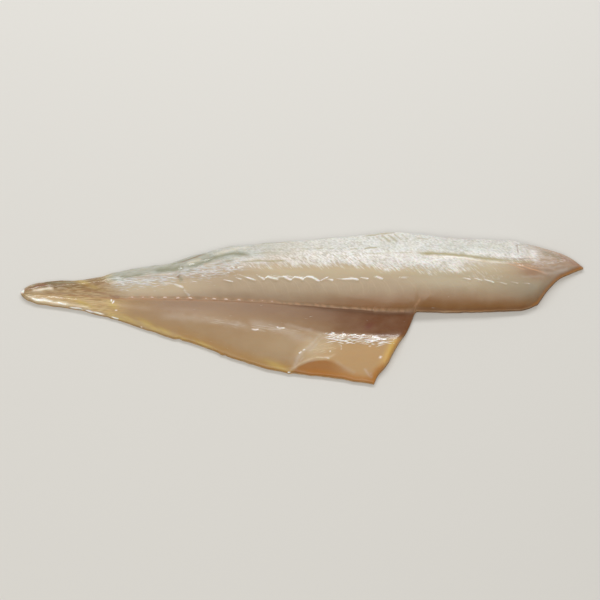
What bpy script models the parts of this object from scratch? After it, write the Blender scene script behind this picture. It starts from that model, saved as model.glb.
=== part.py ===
"""A smoked haddock fillet lying skin side down, with its tail at -X and its head end at +X.

The fillet is one solid: a thick back loin along +Y, a thin belly flap along -Y whose head end is trimmed
off on a slant, and a flat underside. Units are metres, +Z is up, and the origin is the middle of the
underside's box. Each edge and ridge is a smooth curve through a few measured knots, and the flesh's height
is a function of place.
"""

import bisect
import math

import bmesh
import bpy

# Driving dimensions.
TAIL_X = -0.1905
HEAD_X = 0.1905
LOIN_THICKNESS = 0.0180
FLAP_THICKNESS = 0.0048
RIM_THICKNESS = 0.0016
RIM_ROUNDING = 0.0032
UNDERSIDE_INSET = 0.0012

# The back edge, from the tail's tip to the head end's point: (x, y).
BACK_EDGE = [
    (TAIL_X, 0.0110),
    (-0.1875, 0.0142),
    (-0.1805, 0.0170),
    (-0.1700, 0.0190),
    (-0.1500, 0.0199),
    (-0.1370, 0.0221),
    (-0.1268, 0.0256),
    (-0.0960, 0.0308),
    (-0.0690, 0.0388),
    (-0.0420, 0.0447),
    (0.0120, 0.0493),
    (0.0390, 0.0520),
    (0.0600, 0.0543),
    (0.0760, 0.0535),
    (0.0940, 0.0508),
    (0.1210, 0.0491),
    (0.1350, 0.0490),
    (0.1480, 0.0469),
    (0.1750, 0.0394),
    (0.1830, 0.0352),
    (HEAD_X, 0.0290),
]

# The front edge in four stretches that meet at corners: the tail and belly flap, the flap's slanted cut,
# the loin's own front edge where the flap is gone, and the curved cut behind the head end's point.
FLAP_CORNER = (0.0475, -0.0544)
NOTCH = (0.0752, -0.0053)
LOIN_CORNER = (0.1585, 0.0022)
FLAP_EDGE = [
    (TAIL_X, 0.0100),
    (-0.1890, 0.0078),
    (-0.1836, 0.0042),
    (-0.1780, 0.0022),
    (-0.1700, 0.0013),
    (-0.1560, -0.0008),
    (-0.1290, -0.0076),
    (-0.0950, -0.0194),
    (-0.0680, -0.0275),
    (-0.0420, -0.0379),
    (-0.0150, -0.0457),
    (0.0120, -0.0488),
    FLAP_CORNER,
]
FLAP_CUT = [
    FLAP_CORNER,
    (0.0496, -0.0494),
    (0.0552, -0.0422),
    (0.0630, -0.0284),
    (0.0712, -0.0152),
    NOTCH,
]
LOIN_FRONT = [
    NOTCH,
    (0.0768, -0.0034),
    (0.1060, -0.0036),
    (0.1470, -0.0024),
    (0.1536, -0.0002),
    LOIN_CORNER,
]
HEAD_CUT = [LOIN_CORNER, (0.1662, 0.0130), (0.1746, 0.0208), (0.1830, 0.0250), (HEAD_X, 0.0280)]

# The seam between loin and flap, and the loin's crest: (x, y).
SEAM = [
    (TAIL_X, 0.0106),
    (-0.1480, 0.0080),
    (-0.1230, 0.0060),
    (-0.0757, 0.0050),
    (-0.0420, 0.0036),
    (-0.0015, 0.0010),
    (0.0480, -0.0025),
    (NOTCH[0], -0.0032),
    (HEAD_X, -0.0032),
]
CREST = [
    (TAIL_X, 0.0108),
    (-0.1270, 0.0165),
    (-0.0500, 0.0215),
    (0.0500, 0.0210),
    (0.1250, 0.0200),
    (0.1580, 0.0235),
    (0.1740, 0.0290),
    (HEAD_X, 0.0286),
]

# Heights along the fillet as shares of the two thicknesses named above, and the seam's step: (x, value).
CREST_RISE = [
    (TAIL_X, 0.14),
    (-0.1500, 0.22),
    (-0.1200, 0.36),
    (-0.0800, 0.58),
    (-0.0400, 0.79),
    (0.0100, 0.95),
    (0.0700, 1.00),
    (0.1150, 0.96),
    (0.1450, 0.80),
    (0.1680, 0.48),
    (HEAD_X, 0.12),
]
FLAP_RISE = [(TAIL_X, 0.52), (-0.1400, 0.68), (-0.0700, 0.90), (0.0200, 1.00), (HEAD_X, 1.00)]
SEAM_STEP = [
    (TAIL_X, 0.0),
    (-0.0600, 0.0002),
    (0.0000, 0.0012),
    (0.0500, 0.0021),
    (NOTCH[0], 0.0018),
    (HEAD_X, 0.0),
]
LIP_WIDTH = 0.0014

# The flap's section from the seam (0) to its front edge (1): a low swell. Towards its trimmed end the flap
# dips between the seam and a line on that swell.
FLAP_SECTION = [(0.0, 0.90), (0.20, 0.84), (0.46, 0.98), (0.75, 0.86), (1.0, 0.46)]
SWELL_LINE = [
    (-0.0200, -0.0176),
    (0.0050, -0.0200),
    (0.0180, -0.0219),
    (0.0450, -0.0226),
    (NOTCH[0], -0.0220),
]
SWELL_WIDTH = 0.0043
DIP = [
    (-0.0260, 0.0),
    (0.0040, 0.0004),
    (0.0180, 0.00135),
    (0.0450, 0.00165),
    (NOTCH[0], 0.0015),
]

# The loin's section: its back foot as a share of the crest, and how full its back and front slopes are.
BACK_FOOT = 0.24
BACK_POWER = 2.2
FRONT_POWER = 1.55

# A low fold stands across the flap's front half, and a shallow groove parts the loin near its back.
FOLD_START = (0.0123, -0.0186)
FOLD_END = (-0.0084, -0.0455)
FOLD_WIDTH = 0.0034
FOLD_RISE = 0.0009
GROOVE = [(0.0300, 0.0345), (0.0800, 0.0334), (0.1200, 0.0303), (0.1580, 0.0285)]
GROOVE_WIDTH = 0.0024
GROOVE_DEPTH = 0.0012

# The grid: stations along the fillet, and points across the flap and across the loin.
STATION_STEP = 0.0038
TIP_STEP = 0.0013
TIP_LENGTH = 0.0065
FLAP_COLUMNS = 10
LOIN_COLUMNS = 16
OUTLINE_POINTS = 400
SMALLEST_GAP = 0.0009
FLESH_COLOUR = (0.80, 0.62, 0.40, 1.0)
FLESH_ROUGHNESS = 0.32


def knot_slope(knots, i):
    """The curve's slope at knot i: the harmonic mean of its two sides, or 0 where they differ in sign."""
    slopes = []
    for j in (i - 1, i):
        if 0 <= j < len(knots) - 1:
            slopes.append((knots[j + 1][1] - knots[j][1]) / (knots[j + 1][0] - knots[j][0]))
    if len(slopes) == 1:
        return slopes[0]
    before, after = slopes
    if before * after <= 0:
        return 0.0
    return 2 * before * after / (before + after)


def curve(knots, x):
    """The smooth curve through the knots at x: cubic pieces without overshoot, level past both ends."""
    last = len(knots) - 2
    i = min(max(bisect.bisect_right([knot[0] for knot in knots], x) - 1, 0), last)
    (x0, y0), (x1, y1) = knots[i], knots[i + 1]
    span = x1 - x0
    t = min(max((x - x0) / span, 0.0), 1.0)
    rise = t * t * (3 - 2 * t)
    start_pull = t * (1 - t) ** 2 * span * knot_slope(knots, i)
    end_pull = t * t * (t - 1) * span * knot_slope(knots, i + 1)
    return y0 + (y1 - y0) * rise + start_pull + end_pull


def back_edge(x):
    """The y of the fillet's back edge at x."""
    return curve(BACK_EDGE, x)


def front_edge(x):
    """The y of the fillet's front edge at x."""
    for stretch in (FLAP_EDGE, FLAP_CUT, LOIN_FRONT):
        if x <= stretch[-1][0]:
            return curve(stretch, x)
    return curve(HEAD_CUT, x)


def seam(x):
    """The y where flap and loin meet at x; where the flap is gone, a line just inside the front edge."""
    front = front_edge(x)
    inside = min(RIM_ROUNDING / 2, (back_edge(x) - front) / 3)
    return max(curve(SEAM, x), front + inside)


def outline():
    """The fillet's outline seen from above, as a closed list of points."""
    xs = [TAIL_X + (HEAD_X - TAIL_X) * i / OUTLINE_POINTS for i in range(OUTLINE_POINTS + 1)]
    return [(x, front_edge(x)) for x in xs] + [(x, back_edge(x)) for x in reversed(xs)]


def segment_distance(point, start, end):
    """The distance from a point to the segment between start and end."""
    dx = end[0] - start[0]
    dy = end[1] - start[1]
    length_squared = dx * dx + dy * dy
    share = 0.0
    if length_squared > 0:
        share = ((point[0] - start[0]) * dx + (point[1] - start[1]) * dy) / length_squared
        share = min(max(share, 0.0), 1.0)
    return math.hypot(point[0] - start[0] - share * dx, point[1] - start[1] - share * dy)


def edge_distance(point, edge):
    """The distance from a point to the outline, or infinity where it is well inside."""
    best = math.inf
    for start, end in zip(edge, edge[1:] + edge[:1]):
        if abs(start[0] - point[0]) < 2 * RIM_ROUNDING:
            best = min(best, segment_distance(point, start, end))
    return best


def flap_height(x, y):
    """The belly flap's top, taken as if its head end were not trimmed off."""
    seam_y = seam(x)
    edge_y = curve(FLAP_EDGE, x)
    share = (seam_y - y) / max(seam_y - edge_y, SMALLEST_GAP)
    height = FLAP_THICKNESS * curve(FLAP_RISE, x) * curve(FLAP_SECTION, share)
    height -= curve(DIP, x) * curve([(-SWELL_WIDTH, 0.0), (SWELL_WIDTH, 1.0)], y - curve(SWELL_LINE, x))
    aside = segment_distance((x, y), FOLD_START, FOLD_END) / FOLD_WIDTH
    return height + FOLD_RISE * math.exp(-aside * aside)


def loin_height(x, y):
    """The loin's top: it falls from its crest to the seam's step in front and to a foot at the back."""
    crest_y = curve(CREST, x)
    crest_z = LOIN_THICKNESS * curve(CREST_RISE, x)
    if y >= crest_y:
        foot = BACK_FOOT * crest_z
        share = (y - crest_y) / max(back_edge(x) - crest_y, SMALLEST_GAP)
        power = BACK_POWER
    else:
        foot = min(flap_height(x, seam(x)) + curve(SEAM_STEP, x), crest_z)
        share = (crest_y - y) / max(crest_y - seam(x), SMALLEST_GAP)
        power = FRONT_POWER
    height = foot + (crest_z - foot) * (1 - min(max(share, 0.0), 1.0) ** power)
    return height - groove_depth(x, y)


def groove_depth(x, y):
    """How far the groove along the loin's back cuts in; it fades out towards both ends."""
    start, end = GROOVE[0][0], GROOVE[-1][0]
    along = (x - start) / (end - start)
    if not 0 < along < 1:
        return 0.0
    off = (y - curve(GROOVE, x)) / GROOVE_WIDTH
    return GROOVE_DEPTH * math.sin(math.pi * along) * math.exp(-off * off)


def top_height(x, y, on_loin, edge):
    """The flesh's top, rounded down to the rim's thickness near every edge."""
    body = loin_height(x, y) if on_loin else flap_height(x, y)
    body = max(body, RIM_THICKNESS)
    inward = min(edge_distance((x, y), edge) / RIM_ROUNDING, 1.0)
    return RIM_THICKNESS + (body - RIM_THICKNESS) * math.sqrt(1 - (1 - inward) ** 2)


def stations():
    """The x of every section: even, closer at both tips, and one on each corner of the outline."""
    count = round((HEAD_X - TAIL_X) / STATION_STEP)
    xs = {TAIL_X + (HEAD_X - TAIL_X) * i / count for i in range(count + 1)}
    for i in range(1, round(TIP_LENGTH / TIP_STEP)):
        xs.add(TAIL_X + TIP_STEP * i)
        xs.add(HEAD_X - TIP_STEP * i)
    corners = [FLAP_CORNER[0], NOTCH[0], LOIN_FRONT[1][0], LOIN_CORNER[0]]
    clear = STATION_STEP / 3
    return sorted({x for x in xs if all(abs(x - corner) > clear for corner in corners)} | set(corners))


def eased(share):
    """A share from 0 to 1 that moves slowly at 0, so that points crowd there."""
    return (share + 1 - math.cos(math.pi * share / 2)) / 2


def section(x):
    """The points across one section, front to back: (y, whether the point is the loin's)."""
    front, middle, back = front_edge(x), seam(x), back_edge(x)
    lip = min(LIP_WIDTH, (back - middle) / LOIN_COLUMNS)
    points = []
    for i in range(FLAP_COLUMNS + 1):
        share = eased(i / FLAP_COLUMNS)
        points.append((front + (middle - front) * share, False))
    for i in range(LOIN_COLUMNS + 1):
        share = 1 - eased(1 - i / LOIN_COLUMNS)
        points.append((middle + lip + (back - middle - lip) * share, True))
    return points


def fillet_mesh():
    """The closed solid: a grid shaped into the top, its rim drawn down, and one flat face underneath."""
    xs = stations()
    columns = FLAP_COLUMNS + LOIN_COLUMNS + 2
    shape = bmesh.new()
    bmesh.ops.create_grid(shape, x_segments=len(xs) - 1, y_segments=columns - 1, size=0.5)
    edge = outline()
    sections = [section(x) for x in xs]
    for vertex in shape.verts:
        i = round((vertex.co.x + 0.5) * (len(xs) - 1))
        j = round((vertex.co.y + 0.5) * (columns - 1))
        y, on_loin = sections[i][j]
        vertex.co = (xs[i], y, top_height(xs[i], y, on_loin, edge))
    rim = [e for e in shape.edges if e.is_boundary]
    drawn = bmesh.ops.extrude_edge_only(shape, edges=rim)["geom"]
    for vertex in [item for item in drawn if isinstance(item, bmesh.types.BMVert)]:
        x = min(max(vertex.co.x, TAIL_X + UNDERSIDE_INSET / 2), HEAD_X - UNDERSIDE_INSET / 2)
        front, back = front_edge(vertex.co.x), back_edge(vertex.co.x)
        inset = min(UNDERSIDE_INSET, (back - front) / 4)
        vertex.co = (x, min(max(vertex.co.y, front + inset), back - inset), 0.0)
    bmesh.ops.holes_fill(shape, edges=[e for e in shape.edges if e.is_boundary], sides=0)
    bmesh.ops.recalc_face_normals(shape, faces=shape.faces)
    mesh = bpy.data.meshes.new("fillet")
    shape.to_mesh(mesh)
    shape.free()
    return mesh


def flesh_material():
    """Moist smoked flesh, warm cream."""
    material = bpy.data.materials.new("smoked_flesh")
    material.use_nodes = True
    shader = material.node_tree.nodes["Principled BSDF"]
    shader.inputs["Base Color"].default_value = FLESH_COLOUR
    shader.inputs["Roughness"].default_value = FLESH_ROUGHNESS
    shader.inputs["Metallic"].default_value = 0.0
    return material


def build():
    """Clears the scene and makes the fillet."""
    for old in list(bpy.data.objects):
        bpy.data.objects.remove(old)
    collection = bpy.data.collections.new("smoked_haddock")
    bpy.context.scene.collection.children.link(collection)
    mesh = fillet_mesh()
    mesh.materials.append(flesh_material())
    mesh.shade_smooth()
    collection.objects.link(bpy.data.objects.new("fillet", mesh))


build()
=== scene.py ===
"""The looks of a smoked haddock fillet: moist flesh over a thin golden skin, with its pin-bone ends.

The flesh is one fine mesh whose height is a sum of named forms: the loin's dome, the belly flap with its
dip and swell, the seam between them, and the wrinkles, folds and raised flake ends. Fields over the same
forms tell the flesh's finish where it is creamy, straw, pink, brown or amber. Sizes are in millimetres and
turned to metres when a mesh is made.
"""

import logging
import math
from dataclasses import dataclass, field
from enum import Enum

import bpy
import numpy as np
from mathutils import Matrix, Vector


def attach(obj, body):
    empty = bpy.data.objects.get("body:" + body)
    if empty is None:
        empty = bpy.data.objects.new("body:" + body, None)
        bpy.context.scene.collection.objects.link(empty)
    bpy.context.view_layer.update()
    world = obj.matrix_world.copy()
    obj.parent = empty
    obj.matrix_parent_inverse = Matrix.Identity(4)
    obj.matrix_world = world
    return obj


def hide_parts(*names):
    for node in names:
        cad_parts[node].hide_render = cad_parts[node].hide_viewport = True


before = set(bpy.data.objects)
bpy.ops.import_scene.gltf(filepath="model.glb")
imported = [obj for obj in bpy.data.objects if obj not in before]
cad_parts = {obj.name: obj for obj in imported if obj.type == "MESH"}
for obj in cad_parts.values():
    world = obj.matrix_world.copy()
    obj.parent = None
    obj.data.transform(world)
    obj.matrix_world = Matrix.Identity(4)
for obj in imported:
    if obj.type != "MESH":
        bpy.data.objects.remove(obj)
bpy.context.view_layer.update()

MM = 0.001
SEED = 7
LOG = logging.getLogger("smoked_haddock")

Array = np.ndarray
Fields = dict[str, Array]
Knots = tuple[tuple[float, float], ...]
Strokes = tuple[tuple[Knots, float, float], ...]
Tree = bpy.types.NodeTree
Socket = bpy.types.NodeSocket
Sockets = dict[str, Socket]
# A colour, and how far it covers what is under it.
Paint = tuple[str, float]

# Outputs are picked by number, and so are inputs whose names a node repeats. A Math node's are 0 to 2. A
# MapRange node's are 1 to 4: from low, from high, to low and to high. A Mix node's factor is 0.
OBJECT_PLACE = 3
ATTRIBUTE_FACTOR = 2
MIX_A, MIX_B, MIX_COLOUR = 6, 7, 2


# ---- Curves, noise and small helpers ----


def smooth(value: Array, low: float, high: float) -> Array:
    """Eases from 0 at low to 1 at high, or down again where low is the greater."""
    t = np.clip((value - low) / (high - low), 0, 1)
    return t * t * (3 - 2 * t)


def ramp(value: Array, low: float, high: float, ease: float = 0.25) -> Array:
    """Rises from 0 at low to 1 at high, straight in the middle and eased at both ends.

    Args:
        value: The values to ease.
        low: The value that gives 0.
        high: The value that gives 1.
        ease: The share of the way that each eased end takes.

    Returns:
        The eased values, from 0 to 1.
    """
    t = np.clip((value - low) / (high - low), 0, 1)
    start, end = t**2 / (2 * ease), 1 - ease - (1 - t) ** 2 / (2 * ease)
    middle = t - ease / 2
    return np.where(t < ease, start, np.where(t > 1 - ease, end, middle)) / (1 - ease)


def bell(value: Array, width: float) -> Array:
    """Gives 1 at value 0 and falls to about a third at a distance of width."""
    return np.exp(-((value / width) ** 2))


def blob(x: Array, y: Array, middle: tuple[float, float], size: tuple[float, float]) -> Array:
    """Gives 1 in the middle of an oval, and falls to about a third at its half lengths."""
    return bell(np.hypot((x - middle[0]) / size[0], (y - middle[1]) / size[1]), 1)


class Curve:
    """A smooth curve through knots whose cubic pieces never overshoot, level past both ends."""

    def __init__(self, knots: Knots) -> None:
        """Works out the slope at each knot.

        Args:
            knots: The points (x, value), in rising x.
        """
        self.x = np.array([knot[0] for knot in knots])
        self.value = np.array([knot[1] for knot in knots])
        rise = np.diff(self.value) / np.diff(self.x)
        before, after = rise[:-1], rise[1:]
        agree = before * after > 0
        total = np.where(agree, before + after, 1.0)
        inner = np.where(agree, 2 * before * after / total, 0.0)
        self.slope = np.concatenate([rise[:1], inner, rise[-1:]])

    def __call__(self, x: Array | float) -> Array:
        """Reads the curve.

        Args:
            x: Where to read it.

        Returns:
            The curve's value at each x.
        """
        x = np.asarray(x, float)
        i = np.clip(np.searchsorted(self.x, x, side="right") - 1, 0, len(self.x) - 2)
        span = self.x[i + 1] - self.x[i]
        t = np.clip((x - self.x[i]) / span, 0, 1)
        rise = t * t * (3 - 2 * t)
        pull = t * (1 - t) ** 2 * self.slope[i] + t * t * (t - 1) * self.slope[i + 1]
        return self.value[i] + (self.value[i + 1] - self.value[i]) * rise + pull * span


class Path:
    """A line drawn over the fillet, given by a few points and rounded between them where wanted."""

    def __init__(self, points: Knots, rounded: bool = True, step: float = 1.5) -> None:
        """Cuts the line into segments.

        Args:
            points: The points (x, y) that the line goes through.
            rounded: Whether the line bends softly at its points, or keeps its corners.
            step: The length of a segment of a rounded line, about.
        """
        self.points = np.array(points)
        if rounded:
            chord = np.concatenate([[0.0], np.cumsum(np.hypot(*np.diff(self.points, axis=0).T))])
            along = np.linspace(0.0, chord[-1], max(int(chord[-1] / step), 2) + 1)
            columns = [Curve(tuple(zip(chord, self.points[:, axis])))(along) for axis in (0, 1)]
            self.points = np.stack(columns, axis=1)

    def near(self, x: Array, y: Array, reach: float) -> Array:
        """Finds the points within reach of the line's box."""
        low, high = self.points.min(axis=0) - reach, self.points.max(axis=0) + reach
        return (x > low[0]) & (x < high[0]) & (y > low[1]) & (y < high[1])

    def measure(self, x: Array, y: Array) -> tuple[Array, Array]:
        """Measures points against the line.

        Args:
            x: The points' x.
            y: The points' y.

        Returns:
            The signed distance, positive to the left of the line's way, and the share of its length passed.
        """
        best = np.full(x.shape, np.inf)
        side = np.zeros(x.shape)
        share = np.zeros(x.shape)
        pieces = len(self.points) - 1
        for i in range(pieces):
            start, run = self.points[i], self.points[i + 1] - self.points[i]
            t = ((x - start[0]) * run[0] + (y - start[1]) * run[1]) / (run @ run)
            t = np.clip(t, 0, 1)
            off_x, off_y = x - start[0] - t * run[0], y - start[1] - t * run[1]
            distance = np.hypot(off_x, off_y)
            nearer = distance < best
            best = np.where(nearer, distance, best)
            side = np.where(nearer, np.sign(run[0] * off_y - run[1] * off_x), side)
            share = np.where(nearer, (i + t) / pieces, share)
        return best * side, share


class Noise:
    """Smooth random values over the plane, the same on every run."""

    SIZE = 256

    def __init__(self, seed: int) -> None:
        """Draws the random values of one lattice."""
        self.lattice = np.random.default_rng(SEED + seed).uniform(-1.0, 1.0, (self.SIZE, self.SIZE))

    def __call__(self, x: Array, y: Array, wave_x: float, wave_y: float) -> Array:
        """Reads the noise.

        Args:
            x: The points' x.
            y: The points' y.
            wave_x: The size of a blotch along x.
            wave_y: The size of a blotch along y.

        Returns:
            Values from -1 to 1.
        """
        u, v = np.asarray(x) / wave_x, np.asarray(y) / wave_y
        i, j = np.floor(u).astype(int), np.floor(v).astype(int)
        s, t = u - i, v - j
        s, t = s * s * (3 - 2 * s), t * t * (3 - 2 * t)
        left, right = i % self.SIZE, (i + 1) % self.SIZE
        lower, upper = j % self.SIZE, (j + 1) % self.SIZE
        low = self.lattice[left, lower] * (1 - s) + self.lattice[right, lower] * s
        high = self.lattice[left, upper] * (1 - s) + self.lattice[right, upper] * s
        return low * (1 - t) + high * t


def linear(hex_colour: str) -> tuple[float, float, float, float]:
    """Turns an sRGB hex colour into linear light.

    Args:
        hex_colour: Six hex digits, with or without a leading hash sign.

    Returns:
        Red, green, blue and an alpha of 1.
    """
    digits = hex_colour.lstrip("#")
    channels = [int(digits[i : i + 2], 16) / 255 for i in (0, 2, 4)]
    red, green, blue = (c / 12.92 if c <= 0.04045 else ((c + 0.055) / 1.055) ** 2.4 for c in channels)
    return red, green, blue, 1.0


def add(
    tree: Tree, kind: str, inputs: dict[str | int, object] | None = None, out: int = 0, **settings: object
) -> Socket:
    """Adds a node with its settings and links.

    Args:
        tree: The material's node tree.
        kind: The node's type name, without its prefix.
        inputs: What each input takes, by name or number: a socket to link from, or a value.
        out: The number of the output wanted.
        settings: The node's properties.

    Returns:
        The wanted output.
    """
    node = tree.nodes.new("ShaderNode" + kind)
    for name, value in settings.items():
        setattr(node, name, value)
    for name, value in (inputs or {}).items():
        if isinstance(value, bpy.types.NodeSocket):
            tree.links.new(value, node.inputs[name])
        else:
            node.inputs[name].default_value = value
    return node.outputs[out]


# ---- The fillet's form ----


@dataclass(frozen=True)
class Outline:
    """The fillet's outline seen from above, tail at -x, back edge at +y."""

    tail_x: float = -190.5
    head_x: float = 190.5
    back: Knots = (
        (-190.5, 11), (-187.5, 14.2), (-180.5, 17), (-170, 19), (-150, 19.9), (-137, 22.1),
        (-126.8, 25.6), (-96, 30.8), (-69, 38.8), (-42, 44.7), (12, 49.3), (39, 52),
        (60, 54.3), (76, 53.5), (94, 50.8), (121, 49.1), (135, 49), (148, 46.9),
        (175, 39.4), (183, 35.2), (190.5, 29),
    )
    flap: Knots = (
        (-190.5, 10), (-189, 7.8), (-183.6, 4.2), (-178, 2.2), (-170, 1.3), (-156, -0.8),
        (-129, -7.6), (-95, -19.4), (-68, -27.5), (-42, -37.9), (-15, -45.7), (12, -48.8),
        (47.5, -54.4),
    )
    cut: Knots = ((47.5, -54.4), (49.6, -49.4), (55.2, -42.2), (63, -28.4), (71.2, -15.2), (75.2, -5.3))
    loin: Knots = ((75.2, -5.3), (76.8, -3.4), (106, -3.6), (147, -2.4), (153.6, -0.2), (158.5, 2.2))
    head: Knots = ((158.5, 2.2), (166.2, 13), (174.6, 20.8), (183, 25), (190.5, 28))
    # Small nicks in the flap's edge: (x, width, depth).
    nicks: tuple[tuple[float, float, float], ...] = (
        (-131.5, 2, 0.7), (-82.8, 1.6, 0.9), (-53.9, 2.2, -0.8), (-52, 1.2, 0.6), (-9.1, 1.8, -0.9),
        (57.4, 1.3, -0.7),
    )

    def corners(self) -> list[float]:
        """The x of each corner, where a section has to stand."""
        return [self.flap[-1][0], self.cut[-1][0], self.loin[1][0], self.loin[-1][0]]

    def back_edge(self, x: Array) -> Array:
        """The y of the back edge, with its faint ripple."""
        ripple = 0.30 * Noise(11)(x, x * 0, 5, 9) + 0.25 * Noise(12)(x, x * 0, 13, 9)
        return Curve(self.back)(x) + ripple * smooth(x, self.head_x, self.head_x - 15)

    def front_edge(self, x: Array) -> Array:
        """The y of the front edge: flap, slanted cut, loin and head cut in turn, with nicks.

        Args:
            x: Where to read it.

        Returns:
            The edge's y at each x.
        """
        x = np.asarray(x, float)
        y = np.where(x <= self.flap[-1][0], Curve(self.flap)(x), Curve(self.cut)(x))
        y = np.where(x > self.cut[-1][0], Curve(self.loin)(x), y)
        y = np.where(x > self.loin[-1][0], Curve(self.head)(x), y)
        ripple = 0.35 * Noise(13)(x, x * 0, 7, 9) + 0.2 * Noise(14)(x, x * 0, 3, 9)
        for at, width, depth in self.nicks:
            y = y + depth * bell(x - at, width)
        ripple = ripple * smooth(x, self.tail_x, self.tail_x + 10)
        return y + ripple * smooth(x, self.head_x, self.head_x - 20)

    def border(self, count: int = 900) -> Array:
        """The whole outline as a closed run of points.

        Args:
            count: How many steps each of the two edges takes.

        Returns:
            The points, one row each.
        """
        x = np.linspace(self.tail_x, self.head_x, count + 1)
        front = np.stack([x, self.front_edge(x)], axis=1)
        back = np.stack([x, self.back_edge(x)], axis=1)
        return np.concatenate([front, back[::-1], front[:1]])

    def inward(self, x: Array, y: Array, reach: float = 14.0) -> Array:
        """How far points lie inside the nearest edge, exact up to the reach.

        Args:
            x: The points' x, of any shape.
            y: The points' y, of the same shape.
            reach: The greatest distance that matters.

        Returns:
            The distances, no greater than the reach.
        """
        border = self.border()
        start, run = border[:-1], np.diff(border, axis=0)
        length = np.maximum((run**2).sum(axis=1), 1e-12)
        flat_x, flat_y = x.ravel(), y.ravel()
        order = np.argsort(flat_x, kind="stable")
        found = np.full(flat_x.shape, reach)
        for part in np.array_split(order, min(400, len(order))):
            low, high = flat_x[part].min() - reach, flat_x[part].max() + reach
            near = (start[:, 0] > low) & (start[:, 0] < high)
            dx = flat_x[part, None] - start[near, 0]
            dy = flat_y[part, None] - start[near, 1]
            t = np.clip((dx * run[near, 0] + dy * run[near, 1]) / length[near], 0, 1)
            away = np.hypot(dx - t * run[near, 0], dy - t * run[near, 1]).min(axis=1)
            found[part] = np.minimum(away, reach)
        return found.reshape(x.shape)


@dataclass(frozen=True)
class Form:
    """The flesh's broad form: the loin's dome, the belly flap's dip and swell, and the rounded rim."""

    outline: Outline = field(default_factory=Outline)
    loin_thickness: float = 18.0
    flap_thickness: float = 4.8
    rim_thickness: float = 1.5
    rim_rounding: float = 3.0
    seam_line: Knots = (
        (-190.5, 10.6), (-148, 8), (-123, 6), (-102.8, 5.6), (-75.7, 5), (-42, 3.6), (-1.5, 1),
        (28, -1), (48, -2.5), (60, -3.2), (80, -3.15), (106, -3.3), (147, -2.3), (153.6, 0),
        (158.5, 2.4), (166.2, 13.2), (174.6, 21), (183, 25.2), (190.5, 28.2),
    )
    crest_line: Knots = (
        (-190.5, 10.8), (-127, 16.5), (-50, 21.5), (50, 21), (125, 20), (158, 23.5),
        (174, 29), (190.5, 28.6),
    )
    crest_rise: Knots = (
        (-190.5, 0.14), (-150, 0.22), (-120, 0.36), (-80, 0.58), (-40, 0.79), (10, 0.95),
        (70, 1.00), (115, 0.96), (145, 0.80), (168, 0.48), (190.5, 0.12),
    )
    flap_rise: Knots = ((-190.5, 0.52), (-140, 0.68), (-70, 0.90), (20, 1.00), (190.5, 1.00))
    seam_step: Knots = ((-190.5, 0), (-60, 0.2), (0, 1.2), (50, 2.1), (75.2, 1.8), (110, 0), (190.5, 0))
    flap_section: Knots = ((0, 0.90), (0.20, 0.84), (0.46, 0.98), (0.75, 0.86), (1, 0.46))
    # The flap dips between the seam and a line on its swell; towards the trimmed end it dips the most.
    swell_line: Knots = ((-20, -17.6), (5, -20), (18, -21.9), (45, -22.6), (75, -22))
    dip: Knots = ((-26, 0), (4, 0.40), (18, 1.35), (45, 1.65), (75.2, 1.5))
    swell_width: float = 4.3
    lip_width: float = 1.5
    back_foot: float = 0.24
    back_power: float = 2.2
    front_power: float = 1.55

    def seam(self, x: Array) -> Array:
        """The y where flap and loin meet, or a line just inside the front edge where the flap is gone.

        Args:
            x: Where to read it.

        Returns:
            The seam's y at each x.
        """
        front, back = self.outline.front_edge(x), self.outline.back_edge(x)
        inside = np.minimum(0.2, (back - front) / 3)
        return np.maximum(Curve(self.seam_line)(x), front + inside)

    def flap_height(self, x: Array, y: Array) -> Array:
        """The belly flap's top, taken as if its head end were not trimmed off.

        Args:
            x: The points' x.
            y: The points' y.

        Returns:
            The heights.
        """
        seam = self.seam(x)
        edge = Curve(self.outline.flap)(x)
        share = np.clip((seam - y) / np.maximum(seam - edge, 0.9), 0, 1)
        level = self.flap_thickness * Curve(self.flap_rise)(x) * Curve(self.flap_section)(share)
        behind = ramp(y - Curve(self.swell_line)(x), -self.swell_width, self.swell_width)
        return level - Curve(self.dip)(x) * behind

    def loin_height(self, x: Array, y: Array) -> Array:
        """The loin's top, from its crest down to the seam's step in front and to a foot at the back.

        Args:
            x: The points' x.
            y: The points' y.

        Returns:
            The heights.
        """
        seam = self.seam(x)
        crest_y = Curve(self.crest_line)(x)
        crest_z = self.loin_thickness * Curve(self.crest_rise)(x)
        behind = np.clip((y - crest_y) / np.maximum(self.outline.back_edge(x) - crest_y, 0.9), 0, 1)
        ahead = np.clip((crest_y - y) / np.maximum(crest_y - seam, 0.9), 0, 1)
        lip = self.flap_height(x, seam) + Curve(self.seam_step)(x)
        foot = np.where(y >= crest_y, self.back_foot * crest_z, np.minimum(lip, crest_z))
        fall = np.where(y >= crest_y, behind**self.back_power, ahead**self.front_power)
        return foot + (crest_z - foot) * (1 - fall)

    def height(self, x: Array, y: Array) -> Array:
        """The broad form's top, before the rim's rounding."""
        onto_loin = smooth((y - self.seam(x) + 0.2) / self.lip_width, 0, 1)
        return self.flap_height(x, y) * (1 - onto_loin) + self.loin_height(x, y) * onto_loin

    def rounded(self, body: Array, inward: Array) -> Array:
        """Brings the body down to the rim's thickness near the edges.

        Args:
            body: The heights before rounding.
            inward: How far inside the edge each point lies.

        Returns:
            The rounded heights.
        """
        body = np.maximum(body, self.rim_thickness)
        share = np.clip(inward / self.rim_rounding, 0, 1)
        return self.rim_thickness + (body - self.rim_thickness) * np.sqrt(1 - (1 - share) ** 2)


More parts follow.
